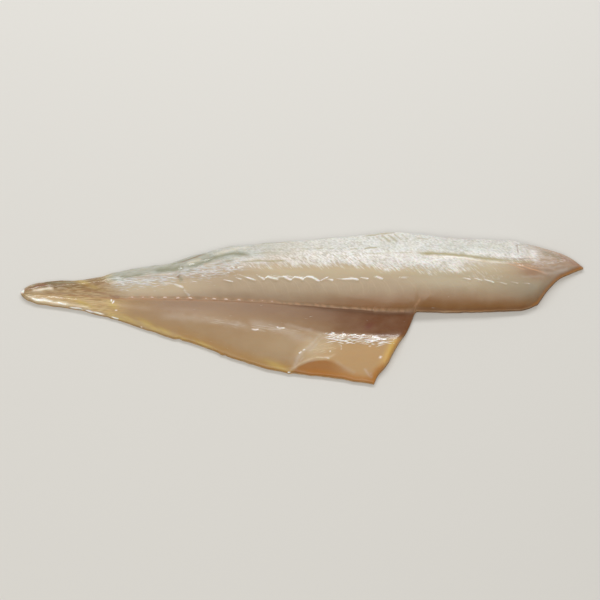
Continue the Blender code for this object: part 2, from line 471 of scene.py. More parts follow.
@dataclass(frozen=True)
class Flakes:
    """The muscle flakes: faint lines across the loin, about 9 mm apart, that turn at the shoulder."""

    pitch: float = 8.6
    start_x: float = -24.6
    shoulder: Knots = (
        (-130, 11.5), (-78, 14.5), (-42, 17.6), (-15, 15.8), (18, 15.2), (48, 15.3), (66, 15.5),
        (109, 15), (132, 13.4), (165, 14.5),
    )
    lean: float = 1.05
    sweep: float = 8.0
    sweep_depth: float = 4.0

    def cycle(self, x: Array, y: Array) -> Array:
        """Which flake each point is on: the whole part counts flakes, the rest is the way across one.

        Args:
            x: The points' x.
            y: The points' y.

        Returns:
            The flake number with its fraction.
        """
        above = y - Curve(self.shoulder)(x)
        below = self.sweep * (1 - np.exp(np.minimum(above, 0.0) / self.sweep_depth))
        shift = np.where(above > 0, -self.lean * above, below)
        wobble = 1.3 * Noise(21)(x, y, 15, 7) + 0.5 * Noise(25)(x, y, 5, 3)
        return (x - self.start_x - shift + wobble) / self.pitch


@dataclass(frozen=True)
class FlakeEnd:
    """A flake's raised wet end on the shoulder, with a painted glint, swelling towards the head and ending
    sharply.
    """

    points: Knots
    width: float
    strength: float

    def wedge(self, x: Array, y: Array, ahead: float, spread: float) -> Array:
        """How strongly the stroke lies over each point.

        Args:
            x: The points' x.
            y: The points' y.
            ahead: How far in front of the stroke's line to measure.
            spread: How many times wider than the stroke to reach.

        Returns:
            Weights from 0 to 1.
        """
        total = np.zeros(x.shape)
        path = Path(self.points, rounded=False)
        near = path.near(x, y, 3 * self.width * spread + ahead)
        off, share = path.measure(x[near], y[near])
        width = self.width * spread * (0.30 + 0.64 * smooth(share, 0, 0.75) * smooth(share, 1.04, 0.86))
        ends = smooth(share, 0, 0.10) * smooth(share, 1, 0.95)
        broken = np.clip(0.95 + 0.55 * Noise(65)(x[near], y[near], 2, 0.9), 0, 1)
        total[near] = self.strength * ends * broken * bell(off + ahead, width)
        return total


# Each flake end's points, width and strength.
FLAKE_ENDS: tuple[FlakeEnd, ...] = tuple(FlakeEnd(*end) for end in (
    (((-53.5, 16.2), (-46.2, 14.6)), 0.38, 0.85),
    (((-44.6, 19.6), (-38, 17.3), (-31.4, 15.1)), 0.45, 0.95),
    (((-45.5, 17.3), (-41, 15.9)), 0.36, 0.60),
    (((-36, 16.2), (-31.2, 15.1)), 0.45, 0.80),
    (((-31.6, 18.9), (-25, 15.1)), 0.54, 1.00),
    (((-25.6, 15.9), (-23.4, 17.2), (-16, 15.1)), 0.69, 1.00),
    (((-21.5, 18.2), (-14, 16.7)), 0.27, 0.60),
    (((-17.4, 16.4), (-12.5, 17), (-7, 14.5)), 0.69, 1.00),
    (((-12.5, 18.1), (-6.4, 16.4)), 0.27, 0.55),
    (((-7.6, 15.2), (-5.4, 16.6), (-1.7, 16.1), (1.3, 14.6)), 0.65, 1.00),
    (((-3.6, 17.5), (2.4, 16.3)), 0.25, 0.55),
    (((0.6, 15.4), (3, 16.8), (6.3, 16.3), (11.6, 13.6)), 0.67, 1.00),
    (((11, 13.7), (17.2, 16.4)), 0.40, 0.90),
    (((16, 15.3), (20.8, 14.2)), 0.54, 0.95),
    (((21.8, 15.3), (28.4, 14.9), (33.8, 15.2), (38, 14.2)), 0.63, 1.00),
    (((26, 16.2), (34.5, 15.9)), 0.27, 0.70),
    (((38.2, 15.9), (44.4, 14.9)), 0.47, 0.90),
    (((46.8, 16.1), (49.8, 16.2), (54, 14.6)), 0.47, 0.85),
    (((64.4, 15.8), (70.8, 15.5)), 0.38, 0.75),
    (((107, 15.7), (113.2, 14.6)), 0.43, 0.55),
    (((114.6, 15.5), (120.8, 14.1)), 0.47, 0.64),
    (((121, 15), (128.8, 12.9)), 0.47, 0.66),
    (((129.3, 13.8), (137.2, 12.4)), 0.38, 0.48),
    (((139.6, 14), (145.4, 13.2)), 0.34, 0.42),
    (((147.4, 13.7), (153, 13.5)), 0.34, 0.36),
))


@dataclass(frozen=True)
class Wrinkle:
    """A ridge, or a groove where the rise is below 0, along a line over the flesh."""

    points: Knots
    rise: float
    width: float
    # How much wider the side to the left of the line's way is.
    left: float = 1.0

    def relief(self, x: Array, y: Array) -> Array:
        """The wrinkle's height, which wanders a little and fades out at both ends.

        Args:
            x: The points' x.
            y: The points' y.

        Returns:
            The change in height.
        """
        total = np.zeros(x.shape)
        path = Path(self.points)
        near = path.near(x, y, 3.5 * self.width * max(self.left, 1.0) + 1.5)
        at_x, at_y = x[near], y[near]
        bent_x = at_x + 0.7 * Noise(71)(at_x, at_y, 5, 5)
        bent_y = at_y + 0.5 * Noise(72)(at_x, at_y, 5, 4)
        off, share = path.measure(bent_x, bent_y)
        width = np.where(off > 0, self.width * self.left, self.width)
        fade = smooth(share, 0, 0.15) * smooth(share, 1, 0.85)
        uneven = 0.85 + 0.45 * Noise(73)(at_x, at_y, 4, 4)
        total[near] = self.rise * fade * uneven * np.exp(-((off / width) ** 2))
        return total


WRINKLES: dict[str, Wrinkle] = {
    "back_groove": Wrinkle(
        ((78, 33.9), (96, 33.5), (109, 32.3), (119, 30.9), (129, 29.9), (140, 28.9), (158, 29)), -0.45, 1.5
    ),
    "groove_lip": Wrinkle(
        ((96, 31.4), (109, 30.4), (119, 29.1), (129, 28.1), (140, 27.3), (150, 27)), 0.32, 0.7
    ),
    "back_dashes": Wrinkle(((-8, 37.6), (6.4, 38), (18.5, 37.8), (34, 37.3), (52, 38.2)), -0.22, 0.5),
    "flap_fold": Wrinkle(
        ((13.3, -17.6), (6.3, -25.9), (-0.4, -32.3), (-4.4, -38.4), (-9, -46.5)), 0.45, 2.8
    ),
    "flap_fold_edge": Wrinkle(
        ((11.5, -20.6), (6.6, -25.5), (0.4, -31.3), (-3, -36.4), (-6, -43)), -0.22, 1.2
    ),
    "flap_ledge": Wrinkle(
        ((19.5, -36.8), (12, -36.9), (2, -39.6), (-3.7, -42.4), (-8, -46.4)), 0.50, 1.8, 0.45
    ),
    "silver_fold": Wrinkle(
        ((-128, 17.6), (-116.4, 19), (-104, 20.2), (-92.8, 20.4), (-81.3, 23), (-69.1, 25.2),
         (-55.6, 29), (-42.2, 31.4)),
        0.40, 1.2,
    ),
    "silver_dip": Wrinkle(
        ((-79, 26.6), (-69.2, 28.8), (-57, 33.4), (-47.7, 35.6), (-38, 34.4)), -0.42, 1.3
    ),
    "silver_hollow": Wrinkle(((-104, 23.4), (-94, 24.6), (-84, 25.4)), -0.22, 1.8),
    "cross_crease": Wrinkle(
        ((-82.4, 27.6), (-82, 24), (-83.6, 19.6), (-82, 16), (-79, 11.6)), -0.35, 0.8
    ),
    "cross_crease_lip": Wrinkle(((-89, 17.2), (-84.4, 14.4), (-80, 11.2), (-76, 7.2)), 0.35, 0.7),
    "tail_streak": Wrinkle(((-184, 10.8), (-176, 11.7), (-168, 13.2), (-160, 14)), 0.35, 1.2),
    "tail_groove": Wrinkle(((-186, 9.8), (-176, 9), (-166, 8.6), (-150, 8.2)), -0.25, 1.1),
    "loin_crease": Wrinkle(((78.2, -1.6), (80.5, 0.8), (84.1, 3.5), (86, 5.2)), 0.25, 1),
    "nape_line": Wrinkle(((143, 28), (156.5, 26.4), (165.5, 24.7), (171.8, 24.3), (180, 26)), 0.25, 0.7),
    "nape_line_low": Wrinkle(((140, 26.4), (152, 23.4), (163, 20.6), (170, 19)), 0.22, 0.6),
    "nape_line_high": Wrinkle(((146, 30.6), (158, 31), (169, 29.6), (181, 28.8)), -0.30, 0.8),
    "back_notch": Wrinkle(((145.1, 43.9), (145.2, 40), (145.6, 34.8)), -0.4, 0.6),
}


@dataclass
class Surface:
    """The finished top of the flesh: form, wrinkles, flake ends and soft unevenness together."""

    form: Form = field(default_factory=Form)
    flakes: Flakes = field(default_factory=Flakes)

    def top(self, x: Array, y: Array, inward: Array) -> Array:
        """The height of the flesh."""
        body = self.form.height(x, y) + self.relief(x, y, inward) + self.unevenness(x, y, inward)
        return self.form.rounded(body, inward) + self.tail_rim(x, y, inward)

    def flake_ends(self, x: Array, y: Array, ahead: float, spread: float) -> Array:
        """The flakes' raised ends on the shoulder, the strongest at each point."""
        return np.maximum.reduce([end.wedge(x, y, ahead, spread) for end in FLAKE_ENDS])

    def relief(self, x: Array, y: Array, inward: Array) -> Array:
        """The sum of the wrinkles, flake ends and seam.

        Args:
            x: The points' x.
            y: The points' y.
            inward: How far inside the edge each point lies.

        Returns:
            The change in height.
        """
        total = sum(wrinkle.relief(x, y) for wrinkle in WRINKLES.values())
        total = total + 0.40 * self.flake_ends(x, y, 0.55, 1.8)
        return (total + self.seam_relief(x, y)) * smooth(inward, 0.6, 3.5)

    def seam_relief(self, x: Array, y: Array) -> Array:
        """The seam's fine groove and the row of small flake ends along it.

        Args:
            x: The points' x.
            y: The points' y.

        Returns:
            The change in height.
        """
        off = y - self.form.seam(x)
        groove = -0.20 * bell(off + 0.4, 0.7) * smooth(x, -165, -135) * smooth(x, 20, -20)
        return groove + 0.18 * self.seam_dashes(x, y)

    def seam_dashes(self, x: Array, y: Array) -> Array:
        """Where the flakes' ends make a row of thin pale dashes along the seam.

        Args:
            x: The points' x.
            y: The points' y.

        Returns:
            Weights from 0 to 1.
        """
        fraction = ((x + 3) / 5.6 + 0.55 * Noise(24)(x, y * 0, 8, 9)) % 1.0
        off = y - self.form.seam(x) - 0.1 + 0.7 * (fraction - 0.5) + 0.25 * Noise(26)(x, y * 0, 6, 9)
        ends = smooth(fraction, 0.02, 0.22) * smooth(fraction, 0.92, 0.62)
        uneven = np.clip(0.80 + 0.60 * Noise(27)(x, y * 0, 4, 9), 0.35, 1)
        return bell(off, 0.38) * ends * uneven * smooth(x, -60, 5) * smooth(x, 74, 68)

    def unevenness(self, x: Array, y: Array, inward: Array) -> Array:
        """The soft unevenness of moist flesh."""
        soft = 0.20 * Noise(41)(x, y, 19, 9) + 0.08 * Noise(42)(x, y, 7, 3.5)
        return soft * smooth(inward, 0.3, 4)

    def tail_rim(self, x: Array, y: Array, inward: Array) -> Array:
        """The tail's thick lower rim."""
        lower = smooth(self.form.seam(x) - y, 0.5, 2.5)
        return 0.8 * bell(inward - 1.3, 1.1) * lower * smooth(x, -133, -142)


# ---- Where each look lies ----


@dataclass(frozen=True)
class Spots:
    """Points on the flesh, and what the looks ask about each of them."""

    x: Array
    y: Array
    # How far inside the outline, behind the seam, behind the flap's swell, behind the loin's shoulder, and
    # ahead of the back edge each point lies.
    inward: Array
    off: Array
    swell: Array
    shoulder: Array
    ahead: Array
    # Where the belly flap is and where the loin is, from 0 to 1.
    flap: Array
    loin: Array

    @classmethod
    def on(cls, surface: Surface, x: Array, y: Array, inward: Array) -> "Spots":
        """Works out what the looks ask about the points.

        Args:
            surface: The flesh's top.
            x: The points' x.
            y: The points' y.
            inward: How far inside the edge each point lies.

        Returns:
            The points.
        """
        form = surface.form
        off = y - form.seam(x)
        return cls(
            x=x,
            y=y,
            inward=inward,
            off=off,
            swell=y - Curve(form.swell_line)(x),
            shoulder=y - Curve(surface.flakes.shoulder)(x),
            ahead=form.outline.back_edge(x) - y,
            flap=smooth(-off, -0.3, 0.8) * smooth(x, 78, 74),
            loin=1 - smooth(-off, -1, 0.4),
        )


@dataclass
class Looks:
    """Fields over the flesh that tell its finish where each colour and texture lies."""

    surface: Surface = field(default_factory=Surface)
    # The front edge of the dried film, which is painted whiter as a sheen, and of the part of it that is
    # greyer, where the painted sheen is dimmer.
    film_line: Knots = (
        (-80, 30), (-49, 27.5), (-30, 24.6), (-14, 25), (-2, 24.6), (32, 24.2), (65, 21.8), (92, 20.4),
        (103, 21.4), (112, 22.8), (120, 24.4), (128, 26.4), (142, 29), (160, 31.6), (175, 34),
    )
    upper_line: Knots = ((-60, 25), (-30, 30), (0, 35), (90, 34), (150, 33))
    groove_line: Knots = ((74, 33.4), (96, 33), (109, 31.8), (119, 30.4), (129, 29.4), (142, 28.4))
    tail_line: Knots = (
        (-190, 13.6), (-180.6, 12.9), (-170, 12.8), (-163.7, 12.4), (-153.5, 12.7), (-143.4, 13.6),
        (-136.6, 15.2), (-129.9, 17),
    )
    sheen_line: Knots = ((-82, -8.2), (-62, -10.4), (-47, -13), (-30, -16), (-8, -16.8), (8, -18.4))
    lining_line: Knots = ((-132, 17), (-110, 19.5), (-85, 22), (-60, 28), (-38, 33))
    veil_line: Knots = (
        (-130, 16.4), (-117, 16.2), (-106, 17.4), (-92, 19.4), (-75, 22.4), (-56, 26.6),
        (-36, 30),
    )
    comb_line: Knots = ((-130, 15), (-106, 15.4), (-90, 17), (-72, 19.2), (-50, 22.4), (-36, 25))
    ledge_line: Knots = ((-9, -47.5), (-3, -42.8), (8, -38.6), (17, -38.4), (36, -46.5))
    # How far behind the seam the loin's lower part reaches, painted browner towards the seam: partly its own
    # colour, partly painted shade where its slope turns from the light.
    low_reach: Knots = ((-40, 8), (20, 10.5), (60, 13.5), (84, 16.5), (106, 15.5), (130, 15.5))
    # How dark the flap's hollow is painted along the body, as the loin's shadow over the flesh's own
    # red-brown, and how far the painted highlight band on its wet swell sinks below the swell.
    shade_along: Knots = ((-60, 0), (-42, 0.10), (-22, 0.22), (-2, 0.33), (12, 0.43), (27, 0.74), (50, 1))
    band_sink: Knots = ((0, 0), (24, -0.6), (33, -1.2), (42, 0.4), (50, 0), (58, 2.4), (70, 4))
    # Each drawn line's points, half width and weight. The back's long groove, its dashes and its strokes.
    groove_lines: Strokes = (
        (((40, 33.3), (52, 33.1), (62, 33.4), (78, 34)), 0.40, 0.60),
        (groove_line, 1.55, 0.95),
        (((138, 29), (146, 28.6), (157, 28.8)), 0.8, 0.60),
        (((-17, 37.6), (-12, 38)), 0.35, 0.45),
        (((-9, 38.1), (-4, 38)), 0.35, 0.50),
        (((-1, 38.2), (5, 38)), 0.35, 0.55),
        (((9, 38.2), (14, 38)), 0.35, 0.55),
        (((17, 38), (22, 37.8)), 0.35, 0.50),
        (((32, 37.1), (37, 37.3)), 0.45, 0.75),
        (((41, 37), (46, 38), (51, 38.2)), 0.55, 0.95),
        (((-42, 27.4), (-36, 28.4), (-29, 28.6), (-20, 28.2), (-10, 28.4)), 0.7, 0.80),
        (((-34, 34.8), (-26, 35.2), (-16, 34.6)), 0.6, 0.50),
        (((-30, 44.6), (-18, 45.6), (-6, 46.2)), 0.5, 0.40),
        (((42, 49.6), (50, 50.8), (58, 52), (64, 52.6)), 0.9, 0.80),
        (((49.6, 49.6), (54.8, 43.4)), 0.45, 0.55),
        (((53.4, 50.4), (59.4, 42.4)), 0.60, 0.85),
        (((57.4, 50.4), (64.6, 42.6)), 0.60, 0.85),
        (((61.6, 51), (67.6, 44.4)), 0.55, 0.80),
        (((66.6, 51), (71.6, 45.6)), 0.50, 0.60),
        (((76, 47), (86, 46)), 0.6, 0.50),
        (((152, 37), (150, 31.4)), 0.5, 0.25),
    )
    # The lining's olive folds and hollows: its own olive, painted darker there as shade.
    olive_and_fold_shade_lines: Strokes = (
        (((-101, 23.9), (-91, 24.4), (-84, 25.4), (-79, 26.4)), 1.9, 0.95),
        (((-124, 20.2), (-116, 20.4), (-106, 21.8)), 1.4, 0.80),
        (((-80, 25.2), (-75, 27.2), (-69, 28.9), (-61, 32.1), (-54, 34.6), (-47, 35.6), (-40, 34.2),
          (-33, 32.4)), 1.7, 0.95),
        (((-92, 28.6), (-82, 31.4), (-74, 34.2), (-64, 38)), 1.1, 0.75),
        (((-58, 42.4), (-50, 44), (-43, 44.8)), 1, 0.80),
        (((-43, 44.8), (-22, 46.2), (-8, 47)), 0.6, 0.50),
        (((-176, 17), (-165, 17.6), (-152, 17.4)), 1, 0.55),
        (((-84, 20.4), (-83, 18.4), (-80.8, 16)), 1.1, 0.70),
        (((-60, 26), (-52, 28.6), (-44, 30)), 0.8, 0.35),
        (((162, 38.4), (170, 35.6), (176, 33)), 2.2, 0.45),
        (((90, 41.8), (106, 41.4), (122, 40), (142, 37.6)), 3.2, 0.15),
    )
    # The smoke-dark, red-brown marks on the tail, the back's edge, the nape and the flap.
    rust_lines: Strokes = (
        (((-182, 14.4), (-178, 15.6), (-172, 16)), 1.1, 0.85),
        (((-184, 11.6), (-176, 12.8)), 0.7, 0.5),
        (((-188.6, 11.4), (-185, 13), (-180, 14.2)), 1.1, 0.40),
        (((-150, 14.6), (-141, 15.4), (-132, 14.6)), 1.3, 0.35),
        (((-150, 11.9), (-140, 10.2), (-130, 8.2)), 0.9, 0.40),
        (((-171, 9.6), (-160, 9), (-150, 7.2)), 0.7, 0.30),
        (((-83.9, 30.2), (-80, 31.2), (-75, 33.4), (-66, 37.2)), 0.5, 0.75),
        (((-84.6, 19.6), (-83.6, 18)), 1, 0.60),
        (((-131, 8), (-127, 6.6), (-123, 6.4)), 0.9, 0.6),
        (((145, 43.9), (145.2, 40), (145.6, 34.8)), 0.5, 0.75),
        (((94, 50.2), (106, 49.6), (116, 48.6)), 0.6, 0.45),
        (((172, 37.4), (178, 34.4), (184, 30.6), (188.6, 27.6)), 1.8, 0.48),
        (((136, 31), (144, 30.4), (152, 31.2)), 0.35, 0.45),
    )
    # The peach lines on the nape.
    peach_lines: Strokes = (
        (((140, 28), (147.5, 25.2), (153.7, 23.3), (160, 22), (167, 21.4)), 0.45, 0.80),
        (((136, 27), (143, 24.7), (150, 22.2)), 0.40, 0.60),
        (((149, 26.6), (156, 25), (163, 24.4)), 0.40, 0.45),
        (((74.8, -1.3), (77.5, 1.3), (79.4, 3.5)), 0.7, 0.40),
    )
    # The soft sheens along the flap and on the nose, and those on the flap's fold.
    sheen_lines: Strokes = (
        (((-98, -6.6), (-82, -8.2), (-62, -10.4), (-47, -13), (-30, -16)), 2.6, 0.30),
        (((-14, -12.6), (-2, -15.6), (8, -18)), 1.4, 0.30),
        (((-38, -11.5), (-18.5, -16), (-8.4, -19.8), (1.6, -23.5), (11, -24)), 3.2, 0.36),
        (((21, -38.4), (25, -41.2), (30, -44.7), (36, -48.2)), 1.3, 0.22),
        (((40.6, -44.1), (43.6, -47.8), (46, -51.4)), 0.7, 0.50),
        (((45.6, -46.6), (46.4, -51)), 0.5, 0.50),
        (((158.7, 29.1), (165.5, 27), (171, 24.4)), 1.1, 0.45),
        (((160, 21.6), (169, 22.8), (174, 24.6), (181, 27.2)), 1.2, 0.55),
        (((150, 31.6), (160, 33), (170, 33)), 1.2, 0.45),
        (((154, 27), (164, 28.6), (173, 30.6)), 0.8, 0.50),
        (((158, 24.6), (167, 25.6), (176, 28.4)), 0.7, 0.45),
        (((146, 17.2), (156, 18.6), (164, 19.6)), 0.9, 0.30),
    )
    fold_lines: Strokes = (
        (((13.4, -19.4), (7.6, -25.7), (3.6, -30.6), (-0.4, -33.4), (-3.1, -37.4), (-5.1, -41.4),
          (-8.6, -46.4)), 1.3, 0.50),
        (((15, -21.6), (11.4, -25), (7.6, -29), (3, -34)), 0.8, 0.45),
        (((1, -35.6), (-1.6, -39.4), (-5.6, -44.2)), 0.5, 0.50),
    )
    # The pale streak of the tail, and the lip of each fold and groove, painted pale there as a highlight.
    cream_lines: Strokes = (
        (((-183.5, 11.4), (-177.8, 12), (-172, 12.9), (-167.5, 13.2)), 1.1, 0.90),
        (((-166, 13.2), (-158, 12.6)), 0.6, 0.30),
        (((23, -34), (16.9, -36.6), (11.6, -36.9), (5.6, -37.9), (0.3, -39.9), (-4.4, -42.6),
          (-8.4, -45.8)), 0.65, 0.30),
        (((8, -36.9), (16, -36.9), (19, -37.4)), 0.6, 0.50),
        (((84, 31.2), (96, 30.8), (109, 29.6), (119, 28.2), (129, 27.2), (138, 26.4)), 0.7, 0.50),
        (((-60, 35), (-48, 39.4), (-36, 42)), 1.8, 0.30),
        (((-79, 28.6), (-68, 32.4)), 1.4, 0.40),
    )
    # The painted glints: white streaks where the wet flesh catches the light.
    glint_lines: Strokes = (
        (((-129.2, 5.6), (-128, 2.4), (-126.9, 4.8)), 0.40, 0.85),
        (((-94, 15), (-85, 14.3)), 0.35, 0.50),
        (((-87, 14.5), (-83.8, 13.3), (-80, 11.8)), 0.60, 0.55),
        (((-80.6, 11), (-77.5, 8), (-75.8, 6.2)), 1.1, 0.30),
        (((-48.4, 25.6), (-46, 23.6)), 0.45, 0.70),
        (((-44.4, 24), (-41.6, 24.6), (-39, 24.2)), 0.50, 0.70),
        (((-158, 0), (-152.5, -0.9), (-145.7, -2.5), (-140, -3.9), (-132.6, -5.7)), 0.45, 0.90),
        (((-128.8, -6.9), (-123.4, -8.6)), 0.40, 0.60),
        (((-181, 11.8), (-174, 12.7), (-168.5, 13.2)), 0.90, 0.32),
        (((-183.6, 6.4), (-180, 5.2), (-174.5, 4.9), (-168, 3.6)), 0.75, 0.70),
        (((-165.4, 3), (-159, 1.4)), 0.50, 0.70),
        (((11.6, -36.6), (14.6, -36.8), (18.2, -37.4)), 0.40, 0.60),
        (((155.4, 40.4), (156.4, 35), (156, 28)), 3, 0.34),
        (((90, 31), (104, 30.2), (114, 28.8), (122, 27.8)), 0.40, 0.50),
        (((126, 27.4), (136, 26.5), (144, 26.4)), 0.35, 0.35),
        (((-190.3, 11), (-187.6, 11.4)), 1.4, 0.95),
        (((-34.2, -16.4), (-31.4, -17), (-29, -16.6)), 0.40, 0.75),
        (((-17.6, -14.6), (-15.6, -16.4), (-11.6, -15.8)), 0.35, 0.75),
        (((-2.8, -33.9), (-0.6, -32.6)), 0.55, 0.80),
        (((-0.4, -31.9), (2, -31.4)), 0.45, 0.75),
        (((25, -27.6), (26.3, -29.7), (25.4, -31.6)), 0.35, 0.35),
    )
    # Clear spots of honey yellow: x, y, and half length and half height.
    honey_spots: tuple[tuple[float, float, float, float], ...] = (
        (-128, -6.2, 5, 1.8), (-122, -8.4, 6, 1.8), (-105, -12.6, 6, 2.4), (-92, -18, 6, 1.8),
        (60, -31, 3, 6), (-148, 17, 9, 2), (-130, 20, 6, 3.4), (-16, -43, 8, 2.4), (-81, -23, 6, 1.6),
        (-128, 1, 3.5, 2.5), (-148, 2.2, 8, 1.8), (-116, -9.8, 8, 1.8), (-100, -15.6, 7, 1.6),
        (-66, -27, 6, 1.4),
    )
    # Single painted glints on wet spots: x, y and size.
    glint_spots: tuple[tuple[float, float, float], ...] = (
        (51.9, -36.6, 1), (45, -28.9, 0.7), (-53.6, -34.9, 0.7), (-125.4, -2.8, 0.6), (18.3, -32.5, 0.5),
        (60.8, -38.8, 0.8), (-9.2, -46.6, 0.8), (-108.4, -14.4, 0.7), (-82.8, -23.4, 0.6),
    )

    def fields(self, x: Array, y: Array, inward: Array) -> Fields:
        """Works out every field: weights from 0 to 1, the flake count, and the mm past the film's edge.

        Args:
            x: The points' x.
            y: The points' y.
            inward: How far inside the edge each point lies.

        Returns:
            The fields by name.
        """
        at = Spots.on(self.surface, x, y, inward)
        return {
            **self.back_fields(at),
            **self.streak_fields(at),
            **self.flesh_fields(at),
            **self.edge_fields(at),
            **self.tail_fields(at),
            **self.mark_fields(at),
        }

    def back_fields(self, at: Spots) -> Fields:
        """The fields of the back: the flakes, the dried film with its painted sheen, and its hatching.

        Args:
            at: The points.

        Returns:
            The fields by name.
        """
        x, y = at.x, at.y
        ends = smooth(x, -88, -34) * smooth(x, 186, 152)
        past_groove = y - Curve(self.groove_line)(x)
        worn = (
            smooth(x, 138, 170),
            0.15 + 0.55 * smooth(x, 22, -42),
            0.78 * smooth(x, 92, 120) * smooth(past_groove, -0.5, -3),
            0.20 * smooth(x, 80, 102) * smooth(y, 35.5, 39.5) * smooth(x, 156, 146),
        )
        front = smooth(at.shoulder, 0.4, -1.6) * smooth(at.shoulder, -12.5, -2.5)
        return {
            "flake": self.surface.flakes.cycle(x, y),
            "film": np.clip(y - Curve(self.film_line)(x), -12.0, 16.0) * ends - 9 * (1 - ends),
            "upper": smooth(y - Curve(self.upper_line)(x), -3, 4),
            "worn": np.maximum.reduce(worn),
            "lines_front": front * smooth(x, -62, -30) * smooth(x, 140, 70),
            "hatch": smooth(at.shoulder, 5, 9) * smooth(x, -70, -40) * smooth(x, 185, 160),
            "hatch_dark": bell(y - 30.5, 5) * smooth(x, -24, -2) * smooth(x, 60, 36),
        }

    def streak_fields(self, at: Spots) -> Fields:
        """The fields that hold the families of painted glints on wet fibres, and of fine pale fibres.

        Args:
            at: The points.

        Returns:
            The fields by name.
        """
        x, y = at.x, at.y
        past_film = y - Curve(self.film_line)(x)
        above_nape = y - 0.30 * (x - 150.0)
        fringe = bell(past_film + 1, 2.8) * smooth(x, -56, -40) * smooth(x, 134, 112)
        nape_lines = smooth(x, 146, 158) * smooth(above_nape, 20.5, 24) * smooth(at.inward, 1, 3)
        by_sheen = bell(y - Curve(self.sheen_line)(x), 4)
        # Fine white fibres lie combed over the flesh below the lining, painted as glints, with a gap at its
        # cross crease.
        combed = bell(y - Curve(self.comb_line)(x), 6) * (1 - 0.50 * blob(x, y, (-80.5, 16), (6.5, 4.5)))
        return {
            "strand": np.maximum(self.veil(at), 0.15 + 0.55 * smooth(x, -120, -135)),
            "band": self.band(at),
            "band_start": blob(x, y, (13, -19.8), (6.5, 2.4)),
            "comb": combed * smooth(x, -136, -120) * smooth(x, -30, -50),
            "crackle": blob(x, y, (-127, 17), (9.5, 3.2)),
            "fringe": fringe,
            "haze": blob(x, y, (121, 17.5), (21, 6.5)),
            "nape_lines": nape_lines,
            "fold_hairs": bell(np.hypot((x - 14) / 14 - (y + 31) * 0.02, (y + 31) / 6), 1),
            "flap_hairs": at.flap * smooth(x, -86, -60) * smooth(x, 8, -8) * by_sheen,
        }

    def flesh_fields(self, at: Spots) -> Fields:
        """The fields of the bare flesh's broad tones.

        Args:
            at: The points.

        Returns:
            The fields by name.
        """
        x, y, off = at.x, at.y, at.off
        # The loin's lower part is painted browner towards the seam: partly its own colour, partly painted
        # shade where its slope turns from the light.
        reach = Curve(self.low_reach)(x)
        along = 0.16 * smooth(x, -110, -50) + 0.84 * smooth(x, -14, 52)
        low = at.loin * smooth(off / reach, 1, 0.1) * along
        hollow = smooth(-off, 0, 2.6) * smooth(at.swell + 2.2 * smooth(x, 42, 58), 0.4, 4.2)
        brown = np.hypot((x - 155) / 1.9 + (y - 20.4) * 0.25, y - 20.4)
        # The flesh is pinkish next to the seam, on both sides of it.
        below = smooth(-off, 17, 4) * at.flap * smooth(x, -118, -84)
        above = at.loin * smooth(off, 8, 1) * smooth(x, -100, -70) * smooth(x, 84, 60)
        return {
            "flap": at.flap * smooth(x, -150, -110),
            "pink": np.maximum(below, 0.45 * above),
            "straw": bell(y - 20, 5.2) * smooth(x, -50, -14) * smooth(x, 128, 84) * at.loin,
            "head": at.loin * smooth(x, 58, 92) * smooth(y, 3, 16) * smooth(x, 150, 124),
            "low": low * (1 - 0.25 * smooth(x, 100, 130)) * smooth(x, 158, 140),
            "pale": self.pale(at),
            "shade": hollow * at.flap * Curve(self.shade_along)(x),
            "nape": smooth(x, 134, 160) * smooth(y, 14, 22),
            "nape_low": smooth(x, 118, 160) * smooth(y, 22, 12) * smooth(y, 0, 11),
            "nape_brown": bell(brown, 4.2),
            "nose_shade": blob(x, y, (155, 2.5), (15, 9)),
            "seam": bell(off + 0.4, 0.75) * smooth(x, -178, -135) * smooth(x, 82, 70),
            "seam_shade": bell(off + 1, 0.7) * smooth(x, -20, 20) * smooth(x, 76, 70),
            "spot": bell(np.hypot((x - 44.6) / 2.9 - (y + 13.8) * 0.12, (y + 13.8) / 3.2), 1),
        }

    def edge_fields(self, at: Spots) -> Fields:
        """The fields of the thin edges, which took the most smoke, and of the painted shade along some of
        them.

        Args:
            at: The points.

        Returns:
            The fields by name.
        """
        x, y, inward = at.x, at.y, at.inward
        loin_rim = smooth(x, 70, 82) * smooth(inward, 8.5, 1.8) * smooth(x, 166, 146)
        corner_rim = 0.70 * bell(x - 72, 13) * smooth(at.off, 9, 0.5)
        golden = at.flap * smooth(inward, 10, 0.5) * (0.35 + 0.65 * smooth(x, -100, -72))
        glow = smooth(inward, 7, 1.5) * at.flap * smooth(x, 42, 54) * smooth(-at.swell, -2, 4)
        # Painted shade along the loin's lower edge and near the top of the flap's cut.
        under = (
            0.90 * smooth(inward, 3, 0.5) * at.loin * smooth(x, 72, 80) * smooth(at.off, 10, 6),
            0.55 * smooth(inward, 3.2, 0.8) * at.flap * smooth(x, 56, 64) * smooth(y, -22, -16),
        )
        # Painted shade along the nose's lower edge.
        nose = smooth(inward, 6.5, 0.5) * smooth(x, 150, 158) * smooth(at.ahead, 1.5, 5)
        return {
            "rim": at.loin * np.maximum(loin_rim, corner_rim),
            "gold": golden * smooth(x, -150, -120) * smooth(x, 60, 20),
            "honey": self.honey(at),
            "yellow": at.flap * smooth(-at.swell, 1, 7) * smooth(x, -12, 16),
            "glow": glow * smooth(y, -46, -36),
            "edge_shade": np.maximum(*under),
            "nose_edge_shade": nose * smooth(x, 174, 160),
            "triangle": self.triangle(at),
            "amber": self.amber(at),
        }

